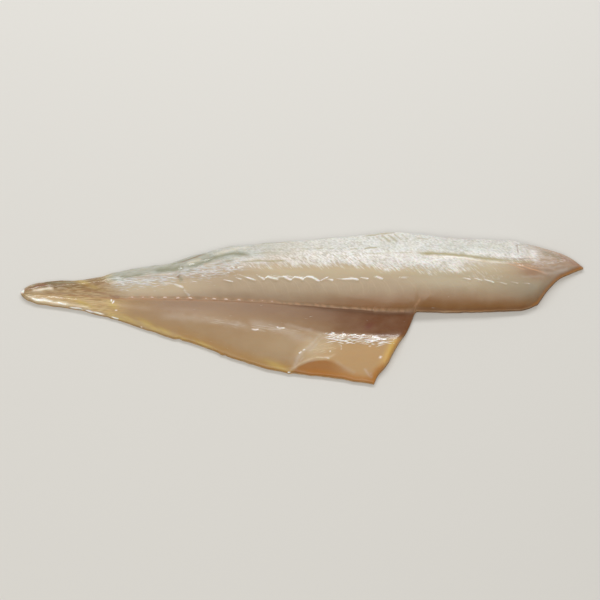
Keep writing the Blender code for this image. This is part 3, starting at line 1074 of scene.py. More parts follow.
    def tail_fields(self, at: Spots) -> Fields:
        """The fields of the tail and of the lining and veil over the tail half's back.

        Args:
            at: The points.

        Returns:
            The fields by name.
        """
        x = at.x
        behind = smooth(at.y - Curve(self.tail_line)(x), -1.2, 1.6)
        return {
            "tail": smooth(x, -112, -136),
            "tail_back": behind * (0.55 + 0.45 * smooth(x, -150, -170)) * smooth(x, -122, -140),
            "tail_gold": smooth(x, -112, -132) * smooth(-at.off, -2.5, 4),
            "tip": smooth(x, -178, -184),
            "lining": self.lining(at),
            "veil": self.veil(at),
        }

    def mark_fields(self, at: Spots) -> Fields:
        """The fields of the marks that were placed one by one.

        Args:
            at: The points.

        Returns:
            The fields by name.
        """
        return {
            "dash": np.maximum(self.surface.seam_dashes(at.x, at.y), self.peach(at)),
            "sheen": self.sheen(at),
            "olive_and_fold_shade": self.drawn(self.olive_and_fold_shade_lines, at),
            "rust": self.drawn(self.rust_lines, at),
            "groove": self.drawn(self.groove_lines, at),
            "cream": self.cream(at),
            "white": self.white(at),
        }

    def lining(self, at: Spots) -> Array:
        """Where the grey-green lining of the skin still covers the back edge of the tail half.

        Args:
            at: The points.

        Returns:
            The weights.
        """
        x, y = at.x, at.y
        ragged = 1.6 * Noise(51)(x + 2.5 * y, y, 9, 2) + 0.8 * Noise(52)(x, y, 4, 1.5)
        behind = smooth(y - Curve(self.lining_line)(x) + ragged, -2, 2.5)
        return behind * smooth(x, 12, -48) * smooth(x + ragged, -137, -126)

    def veil(self, at: Spots) -> Array:
        """Where a streaky white veil covers the flesh below the lining.

        Args:
            at: The points.

        Returns:
            The weights.
        """
        x, y = at.x, at.y
        off = y - Curve(self.veil_line)(x)
        ragged = 1.5 * Noise(53)(x + 2 * y, y, 10, 2.2)
        band = 0.85 * bell(off + ragged, 3.6) + 0.32 * smooth(off, 1, 5)
        band = np.maximum(band, 0.8 * bell(off + ragged, 5.4) * smooth(x, -84, -66))
        gap = 1 - 0.55 * blob(x, y, (-80.5, 16.5), (6.5, 4.5))
        return np.clip(band, 0, 1) * gap * smooth(x, -138, -122) * smooth(x, -14, -36)

    def band(self, at: Spots) -> Array:
        """The painted highlight band on the flap's wet swell: a ragged upper edge, thinning out downwards.

        Args:
            at: The points.

        Returns:
            The weights.
        """
        x, swell = at.x, at.swell
        ragged = 1.3 * Noise(64)(x, swell, 3.4, 4)
        sink = Curve(self.band_sink)(x)
        across = smooth(swell + sink + ragged, 3.2, 1.4) * smooth(swell + 0.5 * sink, -7.4, -3.4)
        return across * smooth(x, 8, 22) * smooth(x, 71, 66) * (1 - 0.50 * smooth(x, 53, 59))

    def peach(self, at: Spots) -> Array:
        """The pinkish smears around the pin-bone ends, and the peach lines on the nape.

        Args:
            at: The points.

        Returns:
            The weights.
        """
        total = np.zeros(at.x.shape)
        # Each smear reaches past its bead on both sides, just behind the seam.
        for at_x, size in Fillet.beads:
            smear = bell(np.hypot((at.x - at_x) / 2.9, (at.off - 0.6) / 0.75), 1)
            total = np.maximum(total, (0.45 + 0.45 * size) * smear)
        return np.maximum(total, self.drawn(self.peach_lines, at))

    def sheen(self, at: Spots) -> Array:
        """The soft lavender-grey sheens: along the flap, on its fold and on the nose."""
        broken = np.clip(0.80 + 0.45 * Noise(66)(at.x + 0.6 * at.y, at.y, 1.6, 4), 0.35, 1)
        return np.maximum(self.drawn(self.sheen_lines, at), broken * self.drawn(self.fold_lines, at))

    def pale(self, at: Spots) -> Array:
        """The palest flesh: above the tail half's seam, beside the flap's fold, and on the shoulder.

        Args:
            at: The points.

        Returns:
            The weights.
        """
        x, y, off = at.x, at.y, at.off
        band = smooth(off, 1, 5) * smooth(off, 15, 10)
        band = band * smooth(x, -140, -124) * smooth(x, -50, -90)
        fold = bell(np.hypot((x - 9) * 0.42 - (y + 30) * 0.30, (y + 30) * 0.62), 5)
        shoulder = blob(x, y, (128, 13.8), (20, 4.4))
        behind = blob(x, y, (-14, -29), (18, 8.5))
        return np.maximum.reduce([band, 0.95 * fold, 0.50 * shoulder, 0.32 * behind])

    def honey(self, at: Spots) -> Array:
        """The clear spots of honey yellow along the flap's edge, the cut and the tail.

        Args:
            at: The points.

        Returns:
            The weights.
        """
        total = np.zeros(at.x.shape)
        for at_x, at_y, wide, high in self.honey_spots:
            lean = 0.45 * (at.x - at_x) if wide > high else 0.0
            total = np.maximum(total, bell(np.hypot((at.x - at_x) / wide, (at.y - at_y + lean) / high), 1))
        return total

    def triangle(self, at: Spots) -> Array:
        """The thin, darker orange corner of flap under its ledge.

        Args:
            at: The points.

        Returns:
            The weights.
        """
        x, y = at.x, at.y
        under = smooth((Curve(self.ledge_line)(x) - y) / (1 + 2.5 * smooth(x, 14, 24)), -0.3, 1)
        far = smooth(y + 0.55 * (x - 10), 4, -12)
        fold = under * smooth(x, -9, -4) * (0.15 + 0.85 * far) * smooth(x, 44, 12)
        return np.maximum(fold, 0.75 * bell(np.hypot(x - 46.8, y + 52.6), 4.2))

    def amber(self, at: Spots) -> Array:
        """The amber edge of the thinnest flesh: along the flap, the cut, the loin and the nose.

        Args:
            at: The points.

        Returns:
            The weights.
        """
        x, y, inward = at.x, at.y, at.inward
        near = inward + 0.35 * Noise(58)(x, y, 5, 5)
        patchy = np.clip(0.55 + 0.75 * Noise(60)(x, y, 13, 13), 0.1, 1)
        by_seam = smooth(at.off, 12, 4)
        front = smooth(near, 1.2, 0.4) * by_seam * smooth(x, -140, -115) * patchy
        front = front * (0.10 + 0.40 * smooth(x, -98, -72))
        loin = 0.25 * smooth(near, 1, 0.4) * by_seam * smooth(x, 72, 80)
        nose = 0.90 * smooth(inward, 2.4, 0.4) * smooth(x, 150, 158) * smooth(at.ahead, 0.8, 2.2)
        cut = 0.85 * smooth(near, 3.4, -0.4) * at.flap * smooth(x, 44, 54)
        cut = cut * (1 - 0.9 * smooth(y, -26, -18))
        low = 0.92 * smooth(near, 6, 0.8) * smooth(x, -8, 10) * smooth(y, -38, -44)
        return np.maximum.reduce([front, loin, nose, cut, low])

    def cream(self, at: Spots) -> Array:
        """The palest marks: the tail's streak and rim, and painted highlights on the lip of each fold and
        groove.

        Args:
            at: The points.

        Returns:
            The weights.
        """
        x, y, inward = at.x, at.y, at.inward
        ragged = 0.88 + 0.20 * Noise(55)(x, y, 3, 3)
        along = 0.45 * smooth(x, -138, -148) + 0.55 * smooth(x, -154, -164)
        lower = bell(inward - 2, 1.45) * smooth(-at.off, 0.5, 2.5) * along * ragged
        lower = lower * smooth(x, -192, -176)
        upper = 0.30 * bell(inward - 0.8, 0.5) * smooth(y, 9, 12) * smooth(x, -172, -182)
        return np.clip(np.maximum.reduce([self.drawn(self.cream_lines, at), lower, upper]), 0, 1)

    def white(self, at: Spots) -> Array:
        """The painted glints, in white: on the flake ends, in streaks, and on single wet spots.

        Args:
            at: The points.

        Returns:
            The weights.
        """
        total = self.drawn(self.glint_lines, at)
        for at_x, at_y, size in self.glint_spots:
            total = np.maximum(total, 0.85 * bell(np.hypot(at.x - at_x, (at.y - at_y) * 1.5), size))
        return np.maximum(total, self.surface.flake_ends(at.x, at.y, 0.0, 1.0))

    @staticmethod
    def drawn(lines: Strokes, at: Spots) -> Array:
        """Draws soft lines.

        Args:
            lines: Each line's points, half width and weight.
            at: The points to draw over.

        Returns:
            The weights.
        """
        total = np.zeros(at.x.shape)
        for points, width, weight in lines:
            path = Path(points)
            near = path.near(at.x, at.y, 3 * width + 1.5)
            at_x, at_y = at.x[near], at.y[near]
            bent_x = at_x + 0.35 * Noise(56)(at_x, at_y, 4, 4)
            bent_y = at_y + 0.30 * Noise(57)(at_x, at_y, 3.5, 3)
            off, share = path.measure(bent_x, bent_y)
            ends = smooth(share, -0.02, 0.15) * smooth(share, 1.02, 0.85)
            uneven = 1 + 0.35 * Noise(59)(at_x, at_y, 3, 3)
            total[near] = np.maximum(total[near], weight * ends * bell(off, width * uneven))
        return total


# ---- Finishes ----


class Slot(Enum):
    """The record's material slots."""

    FLESH = "smoked_flesh"


@dataclass(frozen=True)
class Grain:
    """A noise pattern: how long and wide a blotch is, its turn in degrees, and how fine it gets."""

    length_mm: float
    width_mm: float
    turn: float = 0.0
    detail: float = 2.0

    def draw(self, tree: Tree, place: Socket) -> Socket:
        """Adds the pattern.

        Args:
            tree: The material's node tree.
            place: The surface's own coordinates.

        Returns:
            The pattern, from 0 to 1 around a half.
        """
        size = (self.length_mm * MM, self.width_mm * MM, self.width_mm * MM)
        rotation = (0.0, 0.0, math.radians(self.turn))
        laying = {"Vector": place, "Rotation": rotation, "Scale": size}
        laid = add(tree, "Mapping", laying, vector_type="TEXTURE")
        return add(tree, "TexNoise", {"Vector": laid, "Scale": 1.0, "Detail": self.detail})


@dataclass(frozen=True)
class Glints:
    """A family of fine streaks, most of them painted glints: their grain, the field they lie in, how dense
    they are.
    """

    grain: str
    field: str
    # The grain's values at which a streak starts and is full.
    low: float
    high: float
    paint: str
    cover: float
    relief_mm: float = 0.0


@dataclass(frozen=True)
class SmokedFlesh:
    """Cold-smoked haddock flesh: brined, smoked raw and moist, so it is half clear, glossy and warm cream."""

    base: str = "#C2AC90"
    mottle: str = "#B09A7E"
    # Each look's field, its colour, and how far it covers what is under it, in painting order.
    tints: tuple[tuple[str, str, float], ...] = (
        ("flap", "#A68864", 0.95),
        ("pink", "#A28874", 0.82),
        ("straw", "#CCBDA0", 0.90),
        ("head", "#C4B89E", 0.74),
        # The loin's lower slope: its own browner colour, with painted shade where it turns from the light.
        ("low", "#9C6E44", 0.92),
        ("gold", "#AC813E", 0.80),
        ("yellow", "#C09C6E", 0.90),
        ("pale", "#C8B698", 0.85),
        ("glow", "#DCB468", 0.85),
        ("tail", "#AA8B5E", 0.88),
        ("tail_gold", "#CBAF80", 0.74),
        ("tail_back", "#6E5226", 0.96),
        ("honey", "#CDB45E", 0.60),
        ("nape", "#AE9582", 0.85),
        ("nape_low", "#B6AC98", 0.80),
        ("nape_brown", "#A47E60", 0.70),
        ("nose_shade", "#6E5638", 0.50),
        ("lining", "#9C9D8A", 0.92),
        ("rim", "#8A5E28", 0.95),
        # Painted shade along the loin's lower edge, near the flap's cut and along the nose's lower edge.
        ("edge_shade", "#6A4018", 0.70),
        ("nose_edge_shade", "#7E5A30", 0.62),
        ("tip", "#84785E", 0.30),
        ("shade", "#69390A", 0.955),
        ("triangle", "#A0682A", 0.90),
        ("seam", "#B08058", 0.50),
        ("seam_shade", "#6C3E1C", 0.62),
    )
    marks: tuple[tuple[str, str, float], ...] = (
        ("groove", "#A3966B", 0.95),
        # The lining's own olive, painted darker in its folds and hollows as shade.
        ("olive_and_fold_shade", "#85846A", 0.90),
        ("rust", "#844A2E", 0.80),
        ("dash", "#DEB08C", 0.85),
        ("spot", "#6A2C1A", 0.70),
        ("sheen", "#D0C5BC", 0.80),
        ("amber", "#B2731F", 0.85),
        # Cream: the tail's pale streak and rim, and painted highlights on the lips of folds and grooves.
        ("cream", "#EFE4CC", 0.95),
    )
    glint_white: str = "#FFFFFF"
    # The dried film, painted whiter as a sheen where the back slope catches the light: its full and its thin
    # parts, next to the crest and greyer towards the back edge, where the painted sheen is dimmer. Its edge
    # is soft, and swings along the fibres, by whole patches, and back across each flake.
    film: str = "#F7F8F9"
    film_thin: str = "#C3C0B7"
    film_back: str = "#EBEEEE"
    film_back_thin: str = "#BABDB6"
    film_fade_mm: float = 3.0
    fibre_swing_mm: float = 8.0
    patch_swing_mm: float = 9.0
    flake_swing_mm: float = 1.2
    veil_white: str = "#D4DADF"
    tail_dark: Paint = ("#7C5A30", 0.38)
    hatch_dark: Paint = ("#A2967A", 0.40)
    edge_line: Paint = ("#D8C6A6", 0.16)
    fine_line: Paint = ("#D8C6A6", 0.12)
    # Muscle fibres run along the flakes, along the body, and up and down over the swell. A fibre is 0.1 to
    # 0.3 mm thick, too fine to show, so the grains gather them in bundles of about 1 mm.
    grains: tuple[tuple[str, Grain], ...] = (
        ("cloud", Grain(10.0, 8.0, 0.0, 3.0)),
        ("mottling", Grain(3.0, 1.8, -12.0, 2.0)),
        ("fibre", Grain(5.5, 0.95, -46.0, 2.0)),
        ("strand", Grain(6.0, 0.75, 2.0, 2.0)),
        ("rising", Grain(7.5, 0.74, 15.0, 1.5)),
        ("falling", Grain(7.5, 0.72, -10.0, 1.5)),
        ("crinkle", Grain(1.9, 1.2, -24.0, 3.0)),
    )
    # Most families are painted glints: white or pale streaks that stand for light caught by wet fibres. The
    # tail's are pale fibres of the flesh's own colour.
    glints: tuple[Glints, ...] = (
        Glints("rising", "band", 0.49, 0.60, "#FFFFFF", 0.98, 0.10),
        Glints("falling", "band", 0.53, 0.62, "#FFFFFF", 0.98, 0.10),
        Glints("falling", "band_start", 0.52, 0.64, "#EDE4DA", 0.70, 0.06),
        Glints("strand", "comb", 0.45, 0.60, "#DAD9DA", 0.62, 0.10),
        Glints("falling", "comb", 0.53, 0.63, "#F3F4F6", 0.75, 0.12),
        Glints("rising", "crackle", 0.50, 0.62, "#EFE9DC", 0.70, 0.10),
        Glints("fibre", "crackle", 0.52, 0.64, "#EFE9DC", 0.70, 0.10),
        Glints("fibre", "fringe", 0.50, 0.68, "#EDEAE0", 0.55, 0.06),
        Glints("fibre", "haze", 0.47, 0.66, "#DFDAD2", 0.50, 0.05),
        Glints("strand", "tail", 0.50, 0.66, "#D6C29A", 0.45, 0.10),
        Glints("strand", "nape_lines", 0.47, 0.64, "#DAD2CE", 0.58, 0.08),
        Glints("rising", "fold_hairs", 0.50, 0.64, "#E4D2B0", 0.55, 0.05),
        Glints("falling", "flap_hairs", 0.48, 0.64, "#D8CABE", 0.42, 0.05),
    )
    fibre_relief_mm: float = 0.12
    strand_relief_mm: float = 0.20
    crinkle_relief_mm: float = 0.03
    hatch_crinkle_mm: float = 0.10
    # Moist flesh is glossy, with a film of brine on it, and duller where the film has dried.
    roughness: float = 0.40
    roughness_swing: float = 0.08
    dry_roughness: float = 0.22
    ior: float = 1.40
    wet_film: float = 0.7
    dry_film: float = 0.12
    wet_roughness: float = 0.09
    wet_ior: float = 1.34
    # Light goes a little way into it, and red light the furthest.
    glow_share: float = 0.30
    glow_depth_mm: float = 2.2
    glow_colours: tuple[float, float, float] = (1.0, 0.55, 0.28)

    def build(self) -> bpy.types.Material:
        """Makes the material.

        Returns:
            The new material.
        """
        material = bpy.data.materials.new("cold_smoked_haddock_flesh")
        material.use_nodes = True
        tree = material.node_tree
        shader = tree.nodes["Principled BSDF"]
        place = add(tree, "TexCoord", out=OBJECT_PLACE)
        grains = {name: grain.draw(tree, place) for name, grain in self.grains}
        streaks = [self.streaks(tree, grains, glints) for glints in self.glints]
        lines = self.flake_lines(tree, grains)
        past = self.past_edge(tree, grains, lines)
        fade = {"Value": past, 1: -self.film_fade_mm, 2: self.film_fade_mm}
        laid = add(tree, "MapRange", fade, interpolation_type="SMOOTHSTEP")
        tree.links.new(self.colour(tree, grains, lines, streaks, past, laid), shader.inputs["Base Color"])
        tree.links.new(self.normal(tree, grains, streaks), shader.inputs["Normal"])
        low, high = self.roughness - self.roughness_swing, self.roughness + self.roughness_swing
        moist = add(tree, "MapRange", {"Value": grains["mottling"], 1: 0.3, 2: 0.7, 3: low, 4: high})
        drier = add(tree, "Math", {0: laid, 1: self.dry_roughness, 2: moist}, operation="MULTIPLY_ADD")
        tree.links.new(drier, shader.inputs["Roughness"])
        wet = add(tree, "MapRange", {"Value": laid, 3: self.wet_film, 4: self.dry_film})
        tree.links.new(wet, shader.inputs["Coat Weight"])
        shader.inputs["IOR"].default_value = self.ior
        shader.inputs["Coat Roughness"].default_value = self.wet_roughness
        shader.inputs["Coat IOR"].default_value = self.wet_ior
        shader.inputs["Subsurface Weight"].default_value = self.glow_share
        shader.inputs["Subsurface Radius"].default_value = self.glow_colours
        shader.inputs["Subsurface Scale"].default_value = self.glow_depth_mm * MM
        return material

    @staticmethod
    def field(tree: Tree, name: str) -> Socket:
        """Reads one of the flesh's fields."""
        return add(tree, "Attribute", out=ATTRIBUTE_FACTOR, attribute_name=name)

    def streaks(self, tree: Tree, grains: Sockets, glints: Glints) -> Socket:
        """Draws a family of streaks, which lie thinner where their field is weaker.

        Args:
            tree: The material's node tree.
            grains: The noise patterns.
            glints: The family.

        Returns:
            Where the streaks lie.
        """
        thinning = 0.30
        where = self.field(tree, glints.field)
        dense = add(tree, "Math", {0: where, 1: thinning, 2: grains[glints.grain]}, operation="MULTIPLY_ADD")
        return add(tree, "MapRange", {"Value": dense, 1: glints.low + thinning, 2: glints.high + thinning})

    def flake_lines(self, tree: Tree, grains: Sockets) -> Sockets:
        """Draws the flakes' edges and the finer lines between them from the flake count.

        Args:
            tree: The material's node tree.
            grains: The noise patterns.

        Returns:
            The flakes' edges, "edge", the finer lines, "fine", and the way across each flake, "across".
        """
        soft = {"interpolation_type": "SMOOTHSTEP"}
        count = self.field(tree, "flake")
        shaken = add(tree, "Math", {0: grains["mottling"], 1: 0.16, 2: count}, operation="MULTIPLY_ADD")
        near = add(tree, "Math", {0: shaken, 1: 0.5}, operation="PINGPONG")
        edge = add(tree, "MapRange", {"Value": near, 1: 0.0, 2: 0.10, 3: 1.0, 4: 0.0}, **soft)
        split = add(tree, "Math", {0: count, 1: 4.0, 2: grains["cloud"]}, operation="MULTIPLY_ADD")
        close = add(tree, "Math", {0: split, 1: 0.5}, operation="PINGPONG")
        fine = add(tree, "MapRange", {"Value": close, 1: 0.0, 2: 0.30, 3: 1.0, 4: 0.0}, **soft)
        patchy = add(tree, "MapRange", {"Value": grains["mottling"], 1: 0.42, 2: 0.60, 3: 0.0, 4: 1.0})
        fine = add(tree, "Math", {0: fine, 1: patchy}, operation="MULTIPLY")
        across = add(tree, "Math", {0: shaken}, operation="FRACT")
        return {"edge": edge, "fine": fine, "across": across}

    def past_edge(self, tree: Tree, grains: Sockets, lines: Sockets) -> Socket:
        """Makes the film's edge ragged: fringed along the fibres, and in and out by whole patches.

        Args:
            tree: The material's node tree.
            grains: The noise patterns.
            lines: The flakes' lines.

        Returns:
            How far past the film's ragged edge each point lies, in mm.
        """
        swings = (
            (grains["fibre"], self.fibre_swing_mm),
            (grains["cloud"], self.patch_swing_mm),
            (lines["across"], -self.flake_swing_mm),
        )
        # Each pattern lies around a half, so half of all swings is taken off.
        middle = -sum(swing for _, swing in swings) / 2
        past = add(tree, "Math", {0: self.field(tree, "film"), 1: middle}, operation="ADD")
        for pattern, swing in swings:
            past = add(tree, "Math", {0: pattern, 1: swing, 2: past}, operation="MULTIPLY_ADD")
        return past

    def colour(
        self, tree: Tree, grains: Sockets, lines: Sockets, streaks: list[Socket], past: Socket, laid: Socket
    ) -> Socket:
        """Paints the looks over the base, one after another.

        Args:
            tree: The material's node tree.
            grains: The noise patterns.
            lines: The flakes' lines.
            streaks: Where each family of glints lies.
            past: How far past the film's edge each point lies.
            laid: Where the film lies.

        Returns:
            The colour.
        """
        base = {0: grains["cloud"], MIX_A: linear(self.base), MIX_B: linear(self.mottle)}
        colour = add(tree, "Mix", base, out=MIX_COLOUR, data_type="RGBA")
        for name, paint, cover in self.tints:
            colour = self.painted(tree, colour, self.field(tree, name), paint, cover, grains["cloud"])
        dark = add(tree, "MapRange", {"Value": grains["strand"], 1: 0.50, 2: 0.38, 3: 0.0, 4: 1.0})
        streaked = add(tree, "Math", {0: self.field(tree, "tail"), 1: dark}, operation="MULTIPLY")
        colour = self.painted(tree, colour, streaked, *self.tail_dark, grains["cloud"])
        front = self.field(tree, "lines_front")
        for line, paint in ((lines["edge"], self.edge_line), (lines["fine"], self.fine_line)):
            weight = add(tree, "Math", {0: front, 1: line}, operation="MULTIPLY")
            colour = self.painted(tree, colour, weight, *paint, grains["cloud"])
        colour = self.veiled(tree, colour, grains)
        colour = self.filmed(tree, colour, grains, past, laid)
        for glints, where in zip(self.glints, streaks):
            colour = self.painted(tree, colour, where, glints.paint, glints.cover, grains["mottling"])
        for name, paint, cover in self.marks:
            colour = self.painted(tree, colour, self.field(tree, name), paint, cover, grains["crinkle"])
        # The painted glints: white paint where the wet flesh would catch the light, broken up along the
        # fibres.
        broken = add(tree, "MapRange", {"Value": grains["falling"], 1: 0.42, 2: 0.54, 3: 0.55, 4: 1.0})
        wet = add(tree, "Math", {0: self.field(tree, "white"), 1: broken}, operation="MULTIPLY")
        sharp = add(tree, "MapRange", {"Value": wet, 1: 0.06, 2: 0.58})
        return self.painted(tree, colour, sharp, self.glint_white, 1.0, grains["crinkle"])

    def veiled(self, tree: Tree, colour: Socket, grains: Sockets) -> Socket:
        """Lays the streaky white veil over the tail half's back, in strands with gaps between them.

        Args:
            tree: The material's node tree.
            colour: The colour so far.
            grains: The noise patterns.

        Returns:
            The colour with the veil.
        """
        streaky = add(tree, "MapRange", {"Value": grains["strand"], 1: 0.38, 2: 0.60, 3: 0.20, 4: 0.88})
        cover = add(tree, "Math", {0: self.field(tree, "veil"), 1: streaky}, operation="MULTIPLY")
        veil = {0: cover, MIX_A: colour, MIX_B: linear(self.veil_white)}
        return add(tree, "Mix", veil, out=MIX_COLOUR, data_type="RGBA")

    def filmed(self, tree: Tree, colour: Socket, grains: Sockets, past: Socket, laid: Socket) -> Socket:
        """Lays the dried white film over the back, painted whiter as a sheen, thin at its edge and finely
        speckled.

        Args:
            tree: The material's node tree.
            colour: The colour so far.
            grains: The noise patterns.
            past: How far past the film's edge each point lies.
            laid: Where the film lies.

        Returns:
            The colour with the film.
        """
        deep = add(tree, "MapRange", {"Value": past, 1: 0.0, 2: 6.0, 3: -0.20, 4: 0.06})
        streaky = add(tree, "MapRange", {"Value": grains["fibre"], 1: 0.41, 2: 0.59, 3: 0.0, 4: 0.32})
        clouded = add(tree, "MapRange", {"Value": grains["cloud"], 1: 0.38, 2: 0.62, 3: 0.0, 4: 0.30})
        speckled = add(tree, "MapRange", {"Value": grains["crinkle"], 1: 0.40, 2: 0.60, 3: 0.0, 4: 0.50})
        thick = deep
        for part in (streaky, clouded, speckled):
            thick = add(tree, "Math", {0: thick, 1: part}, operation="ADD")
        upper = self.field(tree, "upper")
        pairs = ((self.film_thin, self.film_back_thin), (self.film, self.film_back))
        mixes = [{0: upper, MIX_A: linear(crest), MIX_B: linear(back)} for crest, back in pairs]
        thin, full = (add(tree, "Mix", mix, out=MIX_COLOUR, data_type="RGBA") for mix in mixes)
        worn = {0: thick, MIX_A: thin, MIX_B: full}
        film = add(tree, "Mix", worn, out=MIX_COLOUR, data_type="RGBA", clamp_factor=True)
        faded = add(tree, "MapRange", {"Value": self.field(tree, "worn"), 3: 0.94, 4: 0.15})
        cover = add(tree, "Math", {0: laid, 1: faded}, operation="MULTIPLY")
        colour = add(tree, "Mix", {0: cover, MIX_A: colour, MIX_B: film}, out=MIX_COLOUR, data_type="RGBA")
        gaps = add(tree, "MapRange", {"Value": grains["fibre"], 1: 0.46, 2: 0.36, 3: 0.0, 4: 1.0})
        hatched = add(tree, "Math", {0: gaps, 1: self.field(tree, "hatch_dark")}, operation="MULTIPLY")
        return self.painted(tree, colour, hatched, *self.hatch_dark, grains["cloud"])

    @staticmethod
    def painted(
        tree: Tree, colour: Socket, weight: Socket, paint: str, cover: float, grain: Socket
    ) -> Socket:
        """Paints one colour over another, a little unevenly.

        Args:
            tree: The material's node tree.
            colour: The colour so far.
            weight: Where the paint goes.
            paint: The new colour.
            cover: How far it covers at most.
            grain: The pattern that makes it uneven.

        Returns:
            The new colour.
        """
        uneven = add(tree, "MapRange", {"Value": grain, 1: 0.32, 2: 0.62, 3: cover * 0.85, 4: cover})
        share = add(tree, "Math", {0: weight, 1: uneven}, operation="MULTIPLY")
        mix = {0: share, MIX_A: colour, MIX_B: linear(paint)}
        return add(tree, "Mix", mix, out=MIX_COLOUR, data_type="RGBA")

    def normal(self, tree: Tree, grains: Sockets, streaks: list[Socket]) -> Socket:
        """Adds the fibres, strands, crinkles and glints that are finer than the mesh.

        Args:
            tree: The material's node tree.
            grains: The noise patterns.
            streaks: Where each family of glints lies.

        Returns:
            The bumped normal.
        """
        hatch = self.field(tree, "hatch")
        height = add(tree, "Math", {0: grains["crinkle"], 1: self.crinkle_relief_mm}, operation="MULTIPLY")
        for pattern, where, relief in (
            (grains["fibre"], hatch, self.fibre_relief_mm),
            (grains["strand"], self.field(tree, "strand"), self.strand_relief_mm),
            (grains["crinkle"], hatch, self.hatch_crinkle_mm),
        ):
            part = add(tree, "Math", {0: pattern, 1: where}, operation="MULTIPLY")
            height = add(tree, "Math", {0: part, 1: relief, 2: height}, operation="MULTIPLY_ADD")
        for glints, where in zip(self.glints, streaks):
            height = add(tree, "Math", {0: where, 1: glints.relief_mm, 2: height}, operation="MULTIPLY_ADD")
        return add(tree, "Bump", {"Height": height, "Strength": 1.0, "Distance": MM})


@dataclass(frozen=True)
class SmokedSkin:
    """Haddock skin, smoked: thin, glossy and gold over silver, with small scales and a dark side line."""

    gold: str = "#B98A45"
    silver: str = "#A9A08A"
    tints: tuple[tuple[str, str, float], ...] = (
        ("back", "#5E5440", 0.85),
        ("line", "#2E2820", 0.85),
        ("edge", "#B98C46", 0.90),
        ("smoked", "#6E4518", 0.85),
    )
    cloud: Grain = Grain(16.0, 12.0, 0.0, 4.0)
    # The scales are small and overlap, so that about 1.7 mm of each shows, a little more along the body.
    scale_mm: float = 1.7
    scale_stretch: float = 1.25
    scale_relief_mm: float = 0.12
    roughness: float = 0.30
    ior: float = 1.45
    gloss: float = 0.4
    gloss_roughness: float = 0.15

    def build(self) -> bpy.types.Material:
        """Makes the material.

        Returns:
            The new material.
        """
        material = bpy.data.materials.new("smoked_haddock_skin")
        material.use_nodes = True
        tree = material.node_tree
        shader = tree.nodes["Principled BSDF"]
        place = add(tree, "TexCoord", out=OBJECT_PLACE)
        cloud = self.cloud.draw(tree, place)
        base = {0: cloud, MIX_A: linear(self.gold), MIX_B: linear(self.silver)}
        colour = add(tree, "Mix", base, out=MIX_COLOUR, data_type="RGBA")
        for name, paint, cover in self.tints:
            colour = SmokedFlesh.painted(tree, colour, SmokedFlesh.field(tree, name), paint, cover, cloud)
        size = (self.scale_mm * self.scale_stretch * MM, self.scale_mm * MM, self.scale_mm * MM)
        laid = add(tree, "Mapping", {"Vector": place, "Scale": size}, vector_type="TEXTURE")
        cells = add(tree, "TexVoronoi", {"Vector": laid, "Scale": 1.0})
        shine = add(tree, "MapRange", {"Value": cells, 1: 0.0, 2: 0.7, 3: 1.12, 4: 0.72})
        shaded = {0: 1.0, MIX_A: colour, MIX_B: shine}
        scaly = add(tree, "Mix", shaded, out=MIX_COLOUR, data_type="RGBA", blend_type="MULTIPLY")
        tree.links.new(scaly, shader.inputs["Base Color"])
        raised = {"Height": cells, "Strength": 0.5, "Distance": self.scale_relief_mm * MM}
        bump = add(tree, "Bump", raised, invert=True)
        tree.links.new(bump, shader.inputs["Normal"])
        shader.inputs["Roughness"].default_value = self.roughness
        shader.inputs["IOR"].default_value = self.ior
        shader.inputs["Coat Weight"].default_value = self.gloss
        shader.inputs["Coat Roughness"].default_value = self.gloss_roughness
        return material


@dataclass(frozen=True)
class PinBone:
    """The cut ends of the pin bones: wet, pale cartilage that stands out as glossy beads."""

    pale: str = "#EBDCD2"
    warm: str = "#D8BAA6"
    cloud: Grain = Grain(1.2, 1.2)
    roughness: float = 0.18
    ior: float = 1.45

    def build(self) -> bpy.types.Material:
        """Makes the material.

        Returns:
            The new material.
        """
        material = bpy.data.materials.new("pin_bone_cartilage")
        material.use_nodes = True
        tree = material.node_tree
        shader = tree.nodes["Principled BSDF"]
        place = add(tree, "TexCoord", out=OBJECT_PLACE)
        cloud = self.cloud.draw(tree, place)
        base = {0: cloud, MIX_A: linear(self.warm), MIX_B: linear(self.pale)}
        tree.links.new(add(tree, "Mix", base, out=MIX_COLOUR, data_type="RGBA"), shader.inputs["Base Color"])
        shader.inputs["Roughness"].default_value = self.roughness
        shader.inputs["IOR"].default_value = self.ior
        return material


@dataclass(frozen=True)
class PaintedFloor:
    """A matt painted studio floor, pale and even."""

    colour: str = "#D9D8D5"
    roughness: float = 0.7

    def build(self) -> bpy.types.Material:
        """Makes the material.

        Returns:
            The new material.
        """
        material = bpy.data.materials.new("matt_painted_floor")
        material.use_nodes = True
        shader = material.node_tree.nodes["Principled BSDF"]
        shader.inputs["Base Color"].default_value = linear(self.colour)
        shader.inputs["Roughness"].default_value = self.roughness
        return material


# ---- The pieces ----


def mesh_object(
    name: str, points: Array, faces: list[tuple[int, ...]], weights: Fields | None = None
) -> bpy.types.Object:
    """Makes an object from points in millimetres.

    Args:
        name: The object's name.
        points: The points, one row each.
        faces: Each face's point numbers.
        weights: Point weights to store, by name.

    Returns:
        The new object, shaded smooth.
    """
    mesh = bpy.data.meshes.new(name)
    mesh.from_pydata((points * MM).tolist(), [], faces)
    for label, values in (weights or {}).items():
        layer = mesh.attributes.new(label, "FLOAT", "POINT")
        layer.data.foreach_set("value", np.ascontiguousarray(values, np.float32))
    mesh.validate()
    mesh.shade_smooth()
    piece = bpy.data.objects.new(name, mesh)
    bpy.context.scene.collection.objects.link(piece)
    return piece


